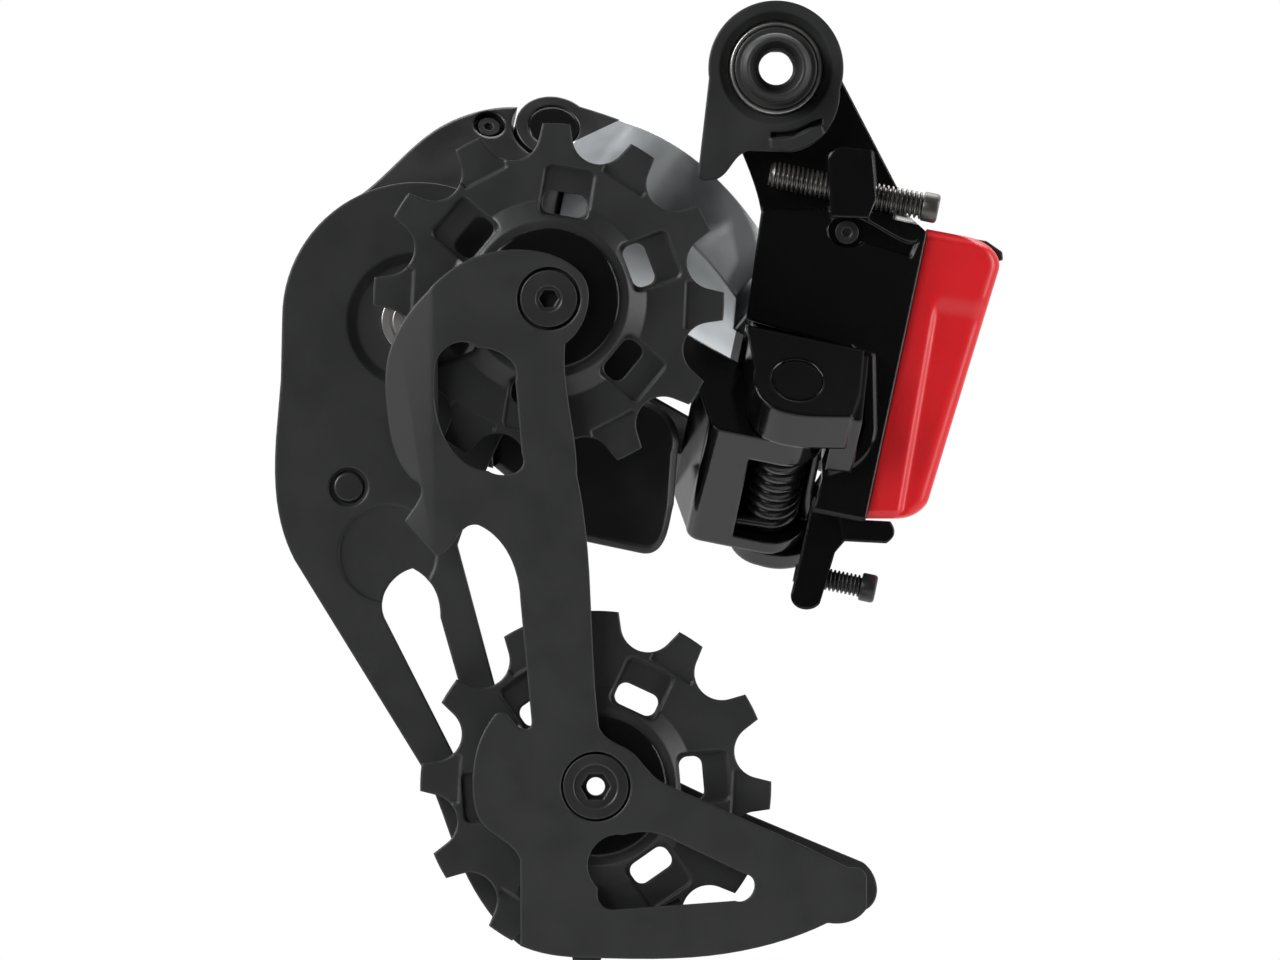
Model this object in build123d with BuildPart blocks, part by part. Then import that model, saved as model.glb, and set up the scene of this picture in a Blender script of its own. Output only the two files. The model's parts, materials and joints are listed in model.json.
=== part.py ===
"""Rear bicycle derailleur, wireless, seen with the wheel towards -Y.

Millimetres.  +X is the rear of the bicycle, +Y is outboard, +Z is up.  The origin is on the axis
of the mounting bolt, in the plane where the frame's hanger meets the hanger washer.
"""
from build123d import *
import os
from math import atan2, cos, degrees, radians, sin, tan

os.makedirs("parts", exist_ok=True)

# ---------------------------------------------------------------- driving dimensions
GAP = 0.3                       # between faces of pieces that move past each other
RUN = 0.05                      # radial clearance of a pin or shaft in its hole

# mounting bolt and hanger washer
THREAD_R = 5.0                  # M10 x 1 hanger thread
THREAD_LENGTH = 8.0
HEX_R = 2.5                     # 5 mm hexagon key, across flats / 2
KEY_DEPTH = 8.0
SHOULDER_R = 5.95
BUSH_R = 6.8
BOLT_HEAD_R = 8.6
BOLT_HEAD_T = 3.4
WASHER_R = 9.8
WASHER_T = 4.2
LUG_R = 9.5
LUG_NEAR = WASHER_T + GAP
LUG_FAR = 17.3

# slanted parallelogram: pins lean by SLANT from the lateral axis, links by TILT in side view
TILT = 11.9
SLANT = 38.0
LINK = 42.0                     # pivot to pivot
LINK_REST = 22.0                # links' angle outboard of square, in the parallelogram's plane
GROUND = (-3.2, 22.4)           # inner pivot to outer pivot, on both knuckles
FOLD_RANGE = 74.0               # outermost cog to innermost cog
PIVOT = Vector(3.1, -8.0, -45.2)
PIN_R = 2.6
EYE_R = 5.6
LINK_T = 6.6

# levels along the pins, from the wheel side of the inner knuckle pin
EAR_NEAR = (0.0, 7.7)
EAR_TOP = 8.0
INNER_EYE_NEAR = (8.0, 13.4)
INNER_EYE_FAR = (31.9, 34.5)
EAR_FAR = (34.8, 38.0)
OUTER_B_EYE = (19.0, 35.0)
OUTER_B_EAR_NEAR = (13.8, 18.7)
OUTER_B_EAR_FAR = (35.3, 38.0)
OUTER_P_EYE_NEAR = (2.0, 6.6)
OUTER_P_BOSS = (6.9, 26.7)
OUTER_P_EYE_FAR = (27.0, 30.5)
P_EAR_NEAR = (3.0, 7.7)

# cage and pulleys
CAGE_AXIS = (-52.3, -36.7)
GUIDE_AXIS = (-32.9, -33.5)
TENSION_AXIS = (-26.1, -104.0)
PULLEY_Y = -12.0
TEETH = 12
CHAIN_PITCH = 12.7
ROLLER_R = 3.95
TIP_R = 25.4
PITCH_R = CHAIN_PITCH / 2 / sin(radians(180 / TEETH))
WIDE_T = 3.4
NARROW_T = 1.9
INNER_PLATE = (-18.6, -16.4)    # Y of the wheel-side cage plate
OUTER_PLATE = (-7.6, -5.0)
BEND_X = -49.5
BEND_ANGLE = 16.0
AXLE_R = 2.5
RACE_R = 3.7
BALL_R = 1.15
BALLS = 9
BEARING_R = 7.6
COVER_R = 10.2

T = radians(TILT)
S = radians(SLANT)
ALONG = Vector(cos(T), 0, -sin(T))
PIN = Vector(-sin(S) * sin(T), cos(S), -sin(S) * cos(T))
RISE = Vector(cos(S) * sin(T), sin(S), cos(S) * cos(T))

B_INNER = (0.0, 0.0)
B_OUTER = GROUND
P_INNER = (-LINK * cos(radians(LINK_REST)), LINK * sin(radians(LINK_REST)))
P_OUTER = (P_INNER[0] + GROUND[0], P_INNER[1] + GROUND[1])


# ---------------------------------------------------------------- shared helpers
def side(y, at=(0, 0)):
    """Plane at depth y, facing the wheel, with its origin at (x, z)."""
    return Plane(origin=(at[0], y, at[1]), x_dir=(1, 0, 0), z_dir=(0, -1, 0))


def across(level, at=(0, 0)):
    """Plane square to the link pins, facing the wheel, with its origin on the pin at (p, q)."""
    origin = PIVOT + ALONG * at[0] + RISE * at[1] + PIN * level
    return Plane(origin=origin, x_dir=ALONG, z_dir=-PIN)


def outline(*runs, mode=Mode.ADD):
    """Face inside a closed line.  A run of one point is straight, a longer run is a smooth curve."""
    start = runs[-1][-1]
    with BuildLine() as edge:
        for run in runs:
            if len(run) == 1:
                Line(start, run[0])
            else:
                Spline(start, *run)
            start = run[-1]
    make_face(edge.edges(), mode=mode)


def straight(*points):
    """Face inside a closed line with straight edges."""
    outline(*[(point,) for point in points])


def disc_stack(axis, steps):
    """Round steps on one lateral axis: (near y, far y, radius)."""
    for near, far, radius in steps:
        with BuildSketch(side(far, axis)) as step:
            Circle(radius)
        extrude(step.sketch, amount=far - near)


def pin_stack(at, steps):
    """Round steps on one link pin: (near level, far level, radius)."""
    for near, far, radius in steps:
        with BuildSketch(across(far, at)) as step:
            Circle(radius)
        extrude(step.sketch, amount=far - near)


def pin_hole(at, near, far, radius):
    """Round hole square to the pins."""
    with BuildSketch(across(far, at)) as hole:
        Circle(radius)
    extrude(hole.sketch, amount=far - near, mode=Mode.SUBTRACT)


def axle_hole(axis, near, far, radius):
    """Round hole along the lateral axis."""
    with BuildSketch(side(far, axis)) as hole:
        Circle(radius)
    extrude(hole.sketch, amount=far - near, mode=Mode.SUBTRACT)


def link_room(pivot, far_end, level, margin=1.2):
    """Room that a link needs as it swings about a pivot by the whole fold: (p, q) of both ends."""
    rest = degrees(atan2(far_end[1] - pivot[1], far_end[0] - pivot[0]))
    start = min(rest, rest + FOLD_RANGE) - 2
    half = LINK_T / 2 + margin
    with BuildSketch(across(level[1] + GAP, pivot)) as room:
        Circle(EYE_R + margin / 2)
        for step in range(5):
            with Locations(Location((0, 0), start + step * (FOLD_RANGE + 4) / 4)):
                Rectangle(LINK, 2 * half, align=(Align.MIN, Align.CENTER))
    extrude(room.sketch, amount=level[1] - level[0] + 2 * GAP, mode=Mode.SUBTRACT)


def save(part, label):
    """Name one finished piece and write it."""
    part.part.label = label
    export_step(part.part, f"parts/{label}.step")


# ---------------------------------------------------------------- hanger washer, bolt, bush
SLOT_DEPTH = 1.3

with BuildPart() as hanger_washer:
    with BuildSketch(side(WASHER_T)):
        Circle(WASHER_R)
        outline(
            [(-9.7, -1.4)],
            [(-11.3, -15.3)],
            [(-10.9, -16.1), (-9.8, -16.3), (-8.6, -16.1)],
            [(-6.9, -14.7), (-5.2, -12.6), (-3.9, -12.0)],
            [(2.0, -12.2)],
            [(5.7, -10.8), (8.1, -8.0), (9.3, -3.2)],
        )
        Circle(BUSH_R + RUN, mode=Mode.SUBTRACT)
    extrude(amount=WASHER_T)
    chamfer(hanger_washer.edges().filter_by(GeomType.CIRCLE).group_by(Axis.Y)[0]
            .filter_by(lambda edge: abs(edge.radius - BUSH_R - RUN) < RUN), 1.3)
    with BuildSketch(side(0.4)):
        outline(
            [(-0.6, -11.6)],
            [(-0.9, -10.2)],
            [(2.6, -9.9), (4.9, -8.7)],
            [(6.6, -8.4)],
            [(7.0, -9.6)],
            [(4.2, -11.3), (1.6, -12.0)],
        )
    extrude(amount=1.9)
    # crescent slot over the pad
    with BuildSketch(side(SLOT_DEPTH)):
        outline(
            [(-0.7, -9.3)],
            [(2.7, -9.0), (5.0, -7.9)],
            [(6.7, -7.2)],
            [(6.7, -8.2)],
            [(4.9, -8.6), (2.6, -9.8)],
            [(-0.8, -10.1)],
        )
    extrude(amount=SLOT_DEPTH, mode=Mode.SUBTRACT)
save(hanger_washer, "hanger_washer")

with BuildPart() as mounting_bolt:
    disc_stack((0, 0), [
        (-THREAD_LENGTH, 0, THREAD_R),
        (0, LUG_FAR + GAP, SHOULDER_R),
        (LUG_FAR + GAP, LUG_FAR + GAP + BOLT_HEAD_T, BOLT_HEAD_R),
    ])
    chamfer(mounting_bolt.edges().group_by(Axis.Y)[0], 0.7)
    chamfer(mounting_bolt.edges().group_by(Axis.Y)[-1], 0.8)
    with BuildSketch(side(LUG_FAR + GAP + BOLT_HEAD_T)):
        RegularPolygon(HEX_R, 6, major_radius=False)
    extrude(amount=KEY_DEPTH, mode=Mode.SUBTRACT)
    axle_hole((0, 0), -THREAD_LENGTH, LUG_FAR, HEX_R)
    with BuildSketch(side(-THREAD_LENGTH)):
        Circle(3.9)
    extrude(amount=-2.6, taper=22, mode=Mode.SUBTRACT)
save(mounting_bolt, "mounting_bolt")

with BuildPart() as knuckle_bush:
    disc_stack((0, 0), [(0.8, LUG_FAR, BUSH_R)])
    axle_hole((0, 0), 0, LUG_FAR + 1, SHOULDER_R + RUN)
    chamfer(knuckle_bush.edges().group_by(Axis.Y)[0], 0.25)
save(knuckle_bush, "knuckle_bush")


# ---------------------------------------------------------------- b-knuckle
BODY_NEAR = 2.0
BODY_FAR = 15.5
TOWER_FAR = 25.0
COVER_T = 2.0
RIB_HEIGHT = 1.6
SCREW_Y = 2.0
B_SCREW_TIP = Vector(-0.9, SCREW_Y, -15.3)
B_SCREW_LENGTH = 25.0
B_SCREW_R = 1.95
SCREW_ROOM = 6.0                # for the screw's head as it is turned in
SCREW_ROOM_R = 2.8
LIMIT_Y = 9.5
LIMIT_TIP = Vector(2.7, LIMIT_Y, -73.1)
LIMIT_LENGTH = 10.2
LIMIT_R = 1.6
REAR_TOP = (21.9, -23.8)
REAR_LOW = (13.0, -65.5)
LATCH_AXIS = (18.6, -24.2)
LATCH_NEAR = 9.0
LATCH_FAR = 19.0
LATCH_R = 1.6
COVER_NEAR = 3.2
COVER_FAR = 25.0
LATCH_PIN_R = 0.8
BUTTON_AXIS = (15.9, -31.6)
BUTTON_R = 1.8
LED_AXIS = (14.9, -36.6)
LED_R = 0.8
PIN_HEAD_R = 3.75
BAY = ((12.6, -27.6), (19.0, -27.6), (16.6, -39.6), (13.8, -39.6), (12.2, -35.0))
BAY_FLOOR = 6.0
BAY_SCREWS = ((13.6, -28.2), (18.4, -28.2))
BAY_SCREW_R = 0.6
CONTACT_NEAR = 9.0
CONTACT_FAR = 19.0
CONTACT_WINDOW = ((17.0, -29.6), (22.0, -30.6), (22.0, -37.2), (15.6, -36.2))
POCKET_SCREW = (10.3, -23.8)

with BuildPart() as b_knuckle:
    disc_stack((0, 0), [(LUG_NEAR, LUG_FAR, LUG_R)])
    with BuildSketch(side(BODY_FAR)):
        outline(
            [(-9.1, -2.6)],
            [(9.4, -1.4)],
            [(18.2, -18.4)],
            [(17.2, -26.0)],
            [(-2.1, -26.0)],
            [(-2.1, -21.0), (-3.2, -16.6), (-4.9, -12.2)],
        )
    extrude(amount=BODY_FAR - LUG_NEAR)
    with BuildSketch(side(BODY_FAR)):
        straight((-2.1, -20.5), (18.3, -20.5), REAR_TOP, (18.0, -42.0), (12.0, -41.0), (-4.3, -36.4))
    extrude(amount=BODY_FAR - BODY_NEAR)
    # tower beside the terminals, down to the hook that holds the terminal cover
    with BuildSketch(side(TOWER_FAR)):
        straight(
            (10.2, -25.0), (18.4, -21.0), REAR_TOP, REAR_LOW, (5.3, -64.0), (6.7, -59.6),
            (6.6, -54.0), (8.0, -46.0), (9.0, -42.0), (9.8, -36.0),
        )
    extrude(amount=TOWER_FAR - BODY_NEAR)
    # raised rib that runs from the near ear down to the foot of the tower
    with BuildSketch(side(BODY_NEAR + 1)):
        outline(
            [(11.2, -40.2)],
            [(14.2, -41.4)],
            [(14.4, -52.2)],
            [(13.2, -55.8), (10.8, -57.9)],
            [(7.7, -58.8)],
            [(7.4, -57.5)],
            [(10.0, -56.6), (12.0, -54.6)],
            [(12.9, -52.0)],
            [(12.8, -43.0)],
        )
    extrude(amount=1 + RIB_HEIGHT)
    # near ear: a sloping block square to the pins
    with BuildSketch(across(EAR_NEAR[1])):
        outline(
            [(-6.0, -2.4), (-3.4, -5.6), (0.0, -6.3), (4.0, -5.8)],
            [(8.8, -4.6)],
            [(9.3, 0.0)],
            [(8.6, EAR_TOP)],
            [(-9.0, EAR_TOP)],
            [(-6.4, 0.6)],
        )
    extrude(amount=EAR_NEAR[1] - EAR_NEAR[0])
    # web behind it, down to the body
    with BuildSketch(across(EAR_NEAR[1] + 6)):
        straight(
            (-9.0, EAR_TOP - 1.6), (6.6, EAR_TOP - 1.6), (6.6, -4.4),
            (10.4, -4.0), (9.4, EAR_TOP), (-9.0, EAR_TOP),
        )
    extrude(amount=EAR_NEAR[1] + 6 - EAR_NEAR[0] - 1.2)
    # far ear
    with BuildSketch(across(EAR_FAR[1])):
        Circle(EYE_R - 0.4)
        outline(
            [(0, -5.2)],
            [(4.5, -4.6), (9.0, -1.0), (12.0, 5.0), (13.4, 14.0)],
            [(6.4, 14.0)],
            [(4.4, 7.6), (0, 5.2)],
        )
    extrude(amount=EAR_FAR[1] - EAR_FAR[0])
    # ears of the outer link, on the outboard side, and the wall that joins them
    for ear in (OUTER_B_EAR_NEAR, OUTER_B_EAR_FAR):
        with BuildSketch(across(ear[1], B_OUTER)):
            Circle(EYE_R)
            outline(
                [(0, -EYE_R)],
                [(6.0, -7.4), (12.6, -9.0)],
                [(15.4, -3.0), (13.6, 4.6)],
                [(7.0, 6.2), (0, EYE_R)],
            )
        extrude(amount=ear[1] - ear[0])
    with BuildSketch(across(OUTER_B_EAR_FAR[1], B_OUTER)):
        outline([(9.5, -8.4)], [(12.6, -9.0)], [(15.4, -3.0), (13.6, 4.6)], [(9.5, 5.7)])
    extrude(amount=OUTER_B_EAR_FAR[1] - OUTER_B_EAR_NEAR[0])
    # boss of the angle-adjusting screw
    with BuildSketch(side(LUG_NEAR + 2)):
        outline(
            [(8.0, -21.6)],
            [(7.5, -13.0)],
            [(8.4, -11.8), (9.8, -11.5)],
            [(14.0, -12.0)],
            [(14.6, -19.0)],
            [(13.4, -21.8)],
        )
    extrude(amount=LUG_NEAR + 2 + 2.2)
    # tab of the limit screw
    with BuildSketch(side(LIMIT_Y + 3.6)):
        outline(
            [(5.4, -62.0)],
            [(3.4, -71.3)],
            [(2.2, -76.2)],
            [(2.9, -78.0), (4.6, -78.5), (6.4, -77.6)],
            [(8.6, -70.2)],
            [(10.0, -68.6)],
            [(16.0, -68.9)],
            [(17.2, -67.4), (16.6, -65.7)],
            [(13.0, -65.5)],
            [(13.6, -62.0)],
        )
    extrude(amount=7.2)
    with BuildSketch(side(COVER_FAR - 1)):
        outline(
            [(9.0, -64.0)],
            [(10.0, -68.6)],
            [(16.0, -68.9)],
            [(17.2, -67.4), (16.6, -65.7)],
            [(12.8, -65.6)],
        )
    extrude(amount=COVER_FAR - COVER_NEAR - 2)
    # room for the links
    link_room(B_INNER, P_INNER, (INNER_EYE_NEAR[0], INNER_EYE_FAR[1]))
    link_room(B_OUTER, P_OUTER, OUTER_B_EYE)
    # latch gap
    axle_hole(LATCH_AXIS, LATCH_NEAR - GAP, LATCH_FAR + GAP, LATCH_R + GAP)
    with BuildSketch(side(LATCH_FAR + GAP)):
        straight((16.7, -15.0), (30.0, -15.0), (30.0, -27.0), (21.4, -26.2), (18.6, -26.1), (16.7, -24.2))
    extrude(amount=LATCH_FAR - LATCH_NEAR + 2 * GAP, mode=Mode.SUBTRACT)
    axle_hole(LATCH_AXIS, LATCH_NEAR - 3, LATCH_FAR + 3, LATCH_PIN_R)
    # room for the bowed part of the outer link
    with BuildSketch(across(19.0, B_OUTER)):
        for step in range(5):
            with Locations(Location((0, 0), 180 - LINK_REST - 2 + step * (FOLD_RANGE + 4) / 4)):
                Polygon((6.2, -4.6), (LINK, -4.6), (LINK, 9.5), (9.0, 9.5), (6.2, 4.0), align=None)
    extrude(amount=19.0 - 8.5, mode=Mode.SUBTRACT)
    # holes for the pins, the bush and the two adjusting screws
    pin_hole(B_INNER, EAR_NEAR[0] + 1.2, EAR_FAR[1], PIN_R)
    pin_hole(B_INNER, EAR_NEAR[0], EAR_NEAR[0] + 1.2, PIN_HEAD_R)
    pin_hole(B_OUTER, OUTER_B_EAR_NEAR[0] + 1.0, OUTER_B_EAR_FAR[1], PIN_R)
    axle_hole((0, 0), LUG_NEAR - 1, LUG_FAR + 1, BUSH_R)
    for tip, length, radius in ((B_SCREW_TIP, B_SCREW_LENGTH, B_SCREW_R), (LIMIT_TIP, LIMIT_LENGTH, LIMIT_R)):
        with BuildSketch(Plane(origin=tip, z_dir=ALONG)):
            Circle(radius + RUN)
        extrude(amount=length, mode=Mode.SUBTRACT)
    with BuildSketch(Plane(origin=B_SCREW_TIP + ALONG * (B_SCREW_LENGTH - SCREW_ROOM), z_dir=ALONG)):
        Circle(SCREW_ROOM_R)
    extrude(amount=SCREW_ROOM, mode=Mode.SUBTRACT)
    # electronics bay, open outboard, with a window to the terminals
    with BuildSketch(side(TOWER_FAR)):
        straight(*BAY)
    extrude(amount=TOWER_FAR - BAY_FLOOR, mode=Mode.SUBTRACT)
    with BuildSketch(side(TOWER_FAR)):
        straight(*BAY)
        offset(amount=1.2)
    extrude(amount=COVER_T, mode=Mode.SUBTRACT)
    with BuildSketch(side(CONTACT_FAR)):
        straight(*CONTACT_WINDOW)
    extrude(amount=CONTACT_FAR - CONTACT_NEAR, mode=Mode.SUBTRACT)
    # pocket and groove beside the angle screw
    with BuildSketch(side(BODY_NEAR + 1.4)):
        outline(
            [(8.6, -25.4), (10.8, -26.0), (12.6, -25.2)],
            [(19.6, -27.4)],
            [(20.6, -24.9)],
            [(12.2, -21.6), (9.6, -21.2), (7.6, -23.2)],
        )
    extrude(amount=1.4, mode=Mode.SUBTRACT)
    axle_hole(POCKET_SCREW, BODY_NEAR, BODY_NEAR + 5, 1.1)
save(b_knuckle, "b_knuckle")


# ---------------------------------------------------------------- pieces on the b-knuckle
with BuildPart() as b_inner_pin:
    pin_stack(B_INNER, [
        (EAR_NEAR[0] + 0.2, EAR_NEAR[0] + 1.2, PIN_HEAD_R),
        (EAR_NEAR[0] + 1.2, EAR_FAR[1], PIN_R),
    ])
save(b_inner_pin, "b_inner_pin")

with BuildPart() as b_outer_pin:
    pin_stack(B_OUTER, [(OUTER_B_EAR_NEAR[0] + 1.0, OUTER_B_EAR_FAR[1], PIN_R)])
save(b_outer_pin, "b_outer_pin")

SPRING_R = 4.1
SPRING_WIRE = 1.5
SPRING_LEVELS = (13.9, 31.4)
with BuildPart() as return_spring:
    pin_stack(B_INNER, [(*SPRING_LEVELS, SPRING_R)])
    pin_hole(B_INNER, *SPRING_LEVELS, SPRING_R - SPRING_WIRE)
    chamfer(return_spring.edges().filter_by(GeomType.CIRCLE), 0.4)
save(return_spring, "return_spring")

with BuildPart() as bay_cover:
    with BuildSketch(side(TOWER_FAR)):
        straight(*BAY)
        offset(amount=1.1)
    extrude(amount=COVER_T)
    for hole in BAY_SCREWS:
        axle_hole(hole, TOWER_FAR - COVER_T, TOWER_FAR, BAY_SCREW_R)
    axle_hole(BUTTON_AXIS, TOWER_FAR - COVER_T, TOWER_FAR, BUTTON_R + RUN)
    axle_hole(LED_AXIS, TOWER_FAR - COVER_T, TOWER_FAR, LED_R)
save(bay_cover, "bay_cover")

with BuildPart() as function_button:
    disc_stack(BUTTON_AXIS, [(TOWER_FAR - COVER_T - 0.4, TOWER_FAR + 1.0, BUTTON_R)])
    chamfer(function_button.edges().group_by(Axis.Y)[-1], 0.3)
save(function_button, "function_button")

with BuildPart() as status_light:
    disc_stack(LED_AXIS, [(TOWER_FAR - COVER_T, TOWER_FAR + 0.2, LED_R)])
save(status_light, "status_light")

with BuildPart() as bay_cover_screws:
    for hole in BAY_SCREWS:
        disc_stack(hole, [
            (TOWER_FAR - COVER_T, TOWER_FAR, BAY_SCREW_R),
            (TOWER_FAR, TOWER_FAR + 0.6, BAY_SCREW_R + 0.4),
        ])
save(bay_cover_screws, "bay_cover_screws")

with BuildPart() as circuit_board:
    with BuildSketch(side(BAY_FLOOR + 3)):
        straight(*BAY)
        offset(amount=-0.3)
    extrude(amount=1.2)
save(circuit_board, "circuit_board")

with BuildPart() as contact_block:
    with BuildSketch(side(CONTACT_FAR)):
        straight((16.4, -30.0), (21.0, -30.9), (19.7, -36.4), (15.3, -35.6))
    extrude(amount=CONTACT_FAR - CONTACT_NEAR)
save(contact_block, "contact_block")

with BuildPart() as battery_contacts:
    for depth in (11.0, 13.0, 15.0, 17.0):
        with BuildSketch(Plane(origin=(20.4, depth, -33.6), z_dir=ALONG)):
            Circle(0.6)
        extrude(amount=2.2)
save(battery_contacts, "battery_contacts")

with BuildPart() as pocket_screw:
    disc_stack(POCKET_SCREW, [
        (BODY_NEAR + 0.6, BODY_NEAR + 1.4, 1.7),
        (BODY_NEAR + 1.4, BODY_NEAR + 4.6, 1.1),
    ])
    with BuildSketch(side(BODY_NEAR + 1.1, POCKET_SCREW)):
        RegularPolygon(0.8, 6)
    extrude(amount=0.6, mode=Mode.SUBTRACT)
save(pocket_screw, "pocket_screw")

with BuildPart() as latch_pin:
    disc_stack(LATCH_AXIS, [(LATCH_NEAR - 2.6, LATCH_FAR + 2.6, LATCH_PIN_R)])
save(latch_pin, "latch_pin")


# ---------------------------------------------------------------- adjusting screws
def cap_screw(tip, length, radius, head_r, head_t, key_r):
    """Socket screw along the links' lean, head to the rear."""
    with BuildSketch(Plane(origin=tip, z_dir=ALONG)) as shank:
        Circle(radius)
    extrude(shank.sketch, amount=length - head_t)
    with BuildSketch(Plane(origin=tip + ALONG * (length - head_t), z_dir=ALONG)) as head:
        Circle(head_r)
        RegularPolygon(key_r, 6, major_radius=False, mode=Mode.SUBTRACT)
    extrude(head.sketch, amount=head_t)
    with BuildSketch(Plane(origin=tip + ALONG * (length - head_t), z_dir=ALONG)) as floor:
        Circle(key_r * 1.3)
    extrude(floor.sketch, amount=0.5)


with BuildPart() as b_screw:
    cap_screw(B_SCREW_TIP, B_SCREW_LENGTH, B_SCREW_R, 2.15, 2.4, 1.0)
save(b_screw, "b_screw")

with BuildPart() as limit_screw:
    cap_screw(LIMIT_TIP, LIMIT_LENGTH + 1.9, LIMIT_R, 2.05, 2.3, 1.0)
save(limit_screw, "limit_screw")


# ---------------------------------------------------------------- terminal cover and latch
with BuildPart() as terminal_cover:
    with BuildSketch(side(COVER_FAR)):
        outline(
            [(22.3, -23.3)],
            [(28.1, -24.3)],
            [(30.4, -25.2), (32.2, -26.8), (33.1, -29.3), (32.4, -32.6)],
            [(22.3, -63.3)],
            [(21.6, -64.5), (20.2, -65.0), (18.4, -65.2)],
            [(13.6, -65.2)],
        )
    extrude(amount=COVER_FAR - COVER_NEAR)
    # shallow panel on both sides
    for near, far in ((COVER_NEAR, COVER_NEAR + 0.7), (COVER_FAR - 0.7, COVER_FAR)):
        with BuildSketch(side(far)):
            straight((26.4, -32.6), (30.9, -33.6), (22.2, -61.2), (18.9, -62.4))
        extrude(amount=far - near, mode=Mode.SUBTRACT)
    # hollow, open towards the terminals
    with BuildSketch(side(COVER_FAR - 2)):
        straight((20.5, -28.8), (28.6, -30.0), (30.6, -32.6), (21.0, -61.6), (13.0, -62.6))
    extrude(amount=COVER_FAR - COVER_NEAR - 4, mode=Mode.SUBTRACT)
    # groove that the latch lies in
    with BuildSketch(side(LATCH_FAR + GAP)):
        straight((21.0, -25.7), (28.4, -26.6), (31.4, -28.6), (35.0, -29.0), (35.0, -20.0), (21.0, -20.0))
    extrude(amount=LATCH_FAR - LATCH_NEAR + 2 * GAP, mode=Mode.SUBTRACT)
save(terminal_cover, "terminal_cover")

with BuildPart() as battery_latch:
    disc_stack(LATCH_AXIS, [(LATCH_NEAR, LATCH_FAR, LATCH_R)])
    with BuildSketch(side(LATCH_FAR)):
        straight(
            (18.4, -22.7), (22.0, -23.7), (28.2, -24.6), (30.6, -25.0), (32.9, -26.6), (33.0, -27.8),
            (31.4, -28.1), (28.4, -26.1), (22.0, -25.3), (18.4, -25.7),
        )
    extrude(amount=LATCH_FAR - LATCH_NEAR)
    axle_hole(LATCH_AXIS, LATCH_NEAR, LATCH_FAR, LATCH_PIN_R + RUN)
save(battery_latch, "battery_latch")


# ---------------------------------------------------------------- links
def link_face(base, tip):
    """Plane through both pins of a link: x from base to tip, y towards the wheel."""
    reach = ALONG * (tip[0] - base[0]) + RISE * (tip[1] - base[1])
    origin = PIVOT + ALONG * base[0] + RISE * base[1]
    return Plane(origin=origin, x_dir=reach, z_dir=reach.cross(-PIN))


BUSH_T = 0.8
INNER_LEVELS = (INNER_EYE_NEAR[0], INNER_EYE_FAR[1])
SPRING_ROOM = -4.5
SHELL_R = 4.5                   # inside of the half shell over the spring

with BuildPart() as inner_link:
    with BuildSketch(link_face(B_INNER, P_INNER)):
        straight(
            (0, -INNER_LEVELS[0]), (LINK, -INNER_LEVELS[0]), (LINK, -INNER_LEVELS[1]), (0, -INNER_LEVELS[1]),
        )
        with Locations((22.5, -19.5)):
            RectangleRounded(24.0, 12.0, 2.0, mode=Mode.SUBTRACT)
    extrude(amount=LINK_T / 2, both=True)
    # deep frame round the return spring, open on the side of the wheel
    with BuildSketch(across(INNER_LEVELS[1])):
        Circle(EYE_R)
        outline(
            [(0, -EYE_R)],
            [(-9.0, -5.7)],
            [(-10.6, -5.2), (-11.4, -3.8)],
            [(-14.4, 2.4)],
            [(-12.0, 6.4)],
            [(0, EYE_R)],
        )
    extrude(amount=INNER_LEVELS[1] - INNER_LEVELS[0])
    with BuildSketch(across(INNER_EYE_FAR[0])):
        straight((SPRING_ROOM, -9.0), (9.0, -9.0), (9.0, 0.0), (SPRING_ROOM, 0.0))
        Circle(SHELL_R)
    extrude(amount=INNER_EYE_FAR[0] - INNER_EYE_NEAR[1], mode=Mode.SUBTRACT)
    pin_stack(P_INNER, [(*INNER_LEVELS, EYE_R)])
    for pivot in (B_INNER, P_INNER):
        pin_hole(pivot, *INNER_LEVELS, PIN_R + BUSH_T)
save(inner_link, "inner_link")

with BuildPart() as inner_link_bushes:
    for pivot, levels in ((B_INNER, INNER_EYE_NEAR), (B_INNER, INNER_EYE_FAR), (P_INNER, INNER_LEVELS)):
        pin_stack(pivot, [(*levels, PIN_R + BUSH_T)])
    for pivot in (B_INNER, P_INNER):
        pin_hole(pivot, *INNER_LEVELS, PIN_R + RUN)
save(inner_link_bushes, "inner_link_bushes")

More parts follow.
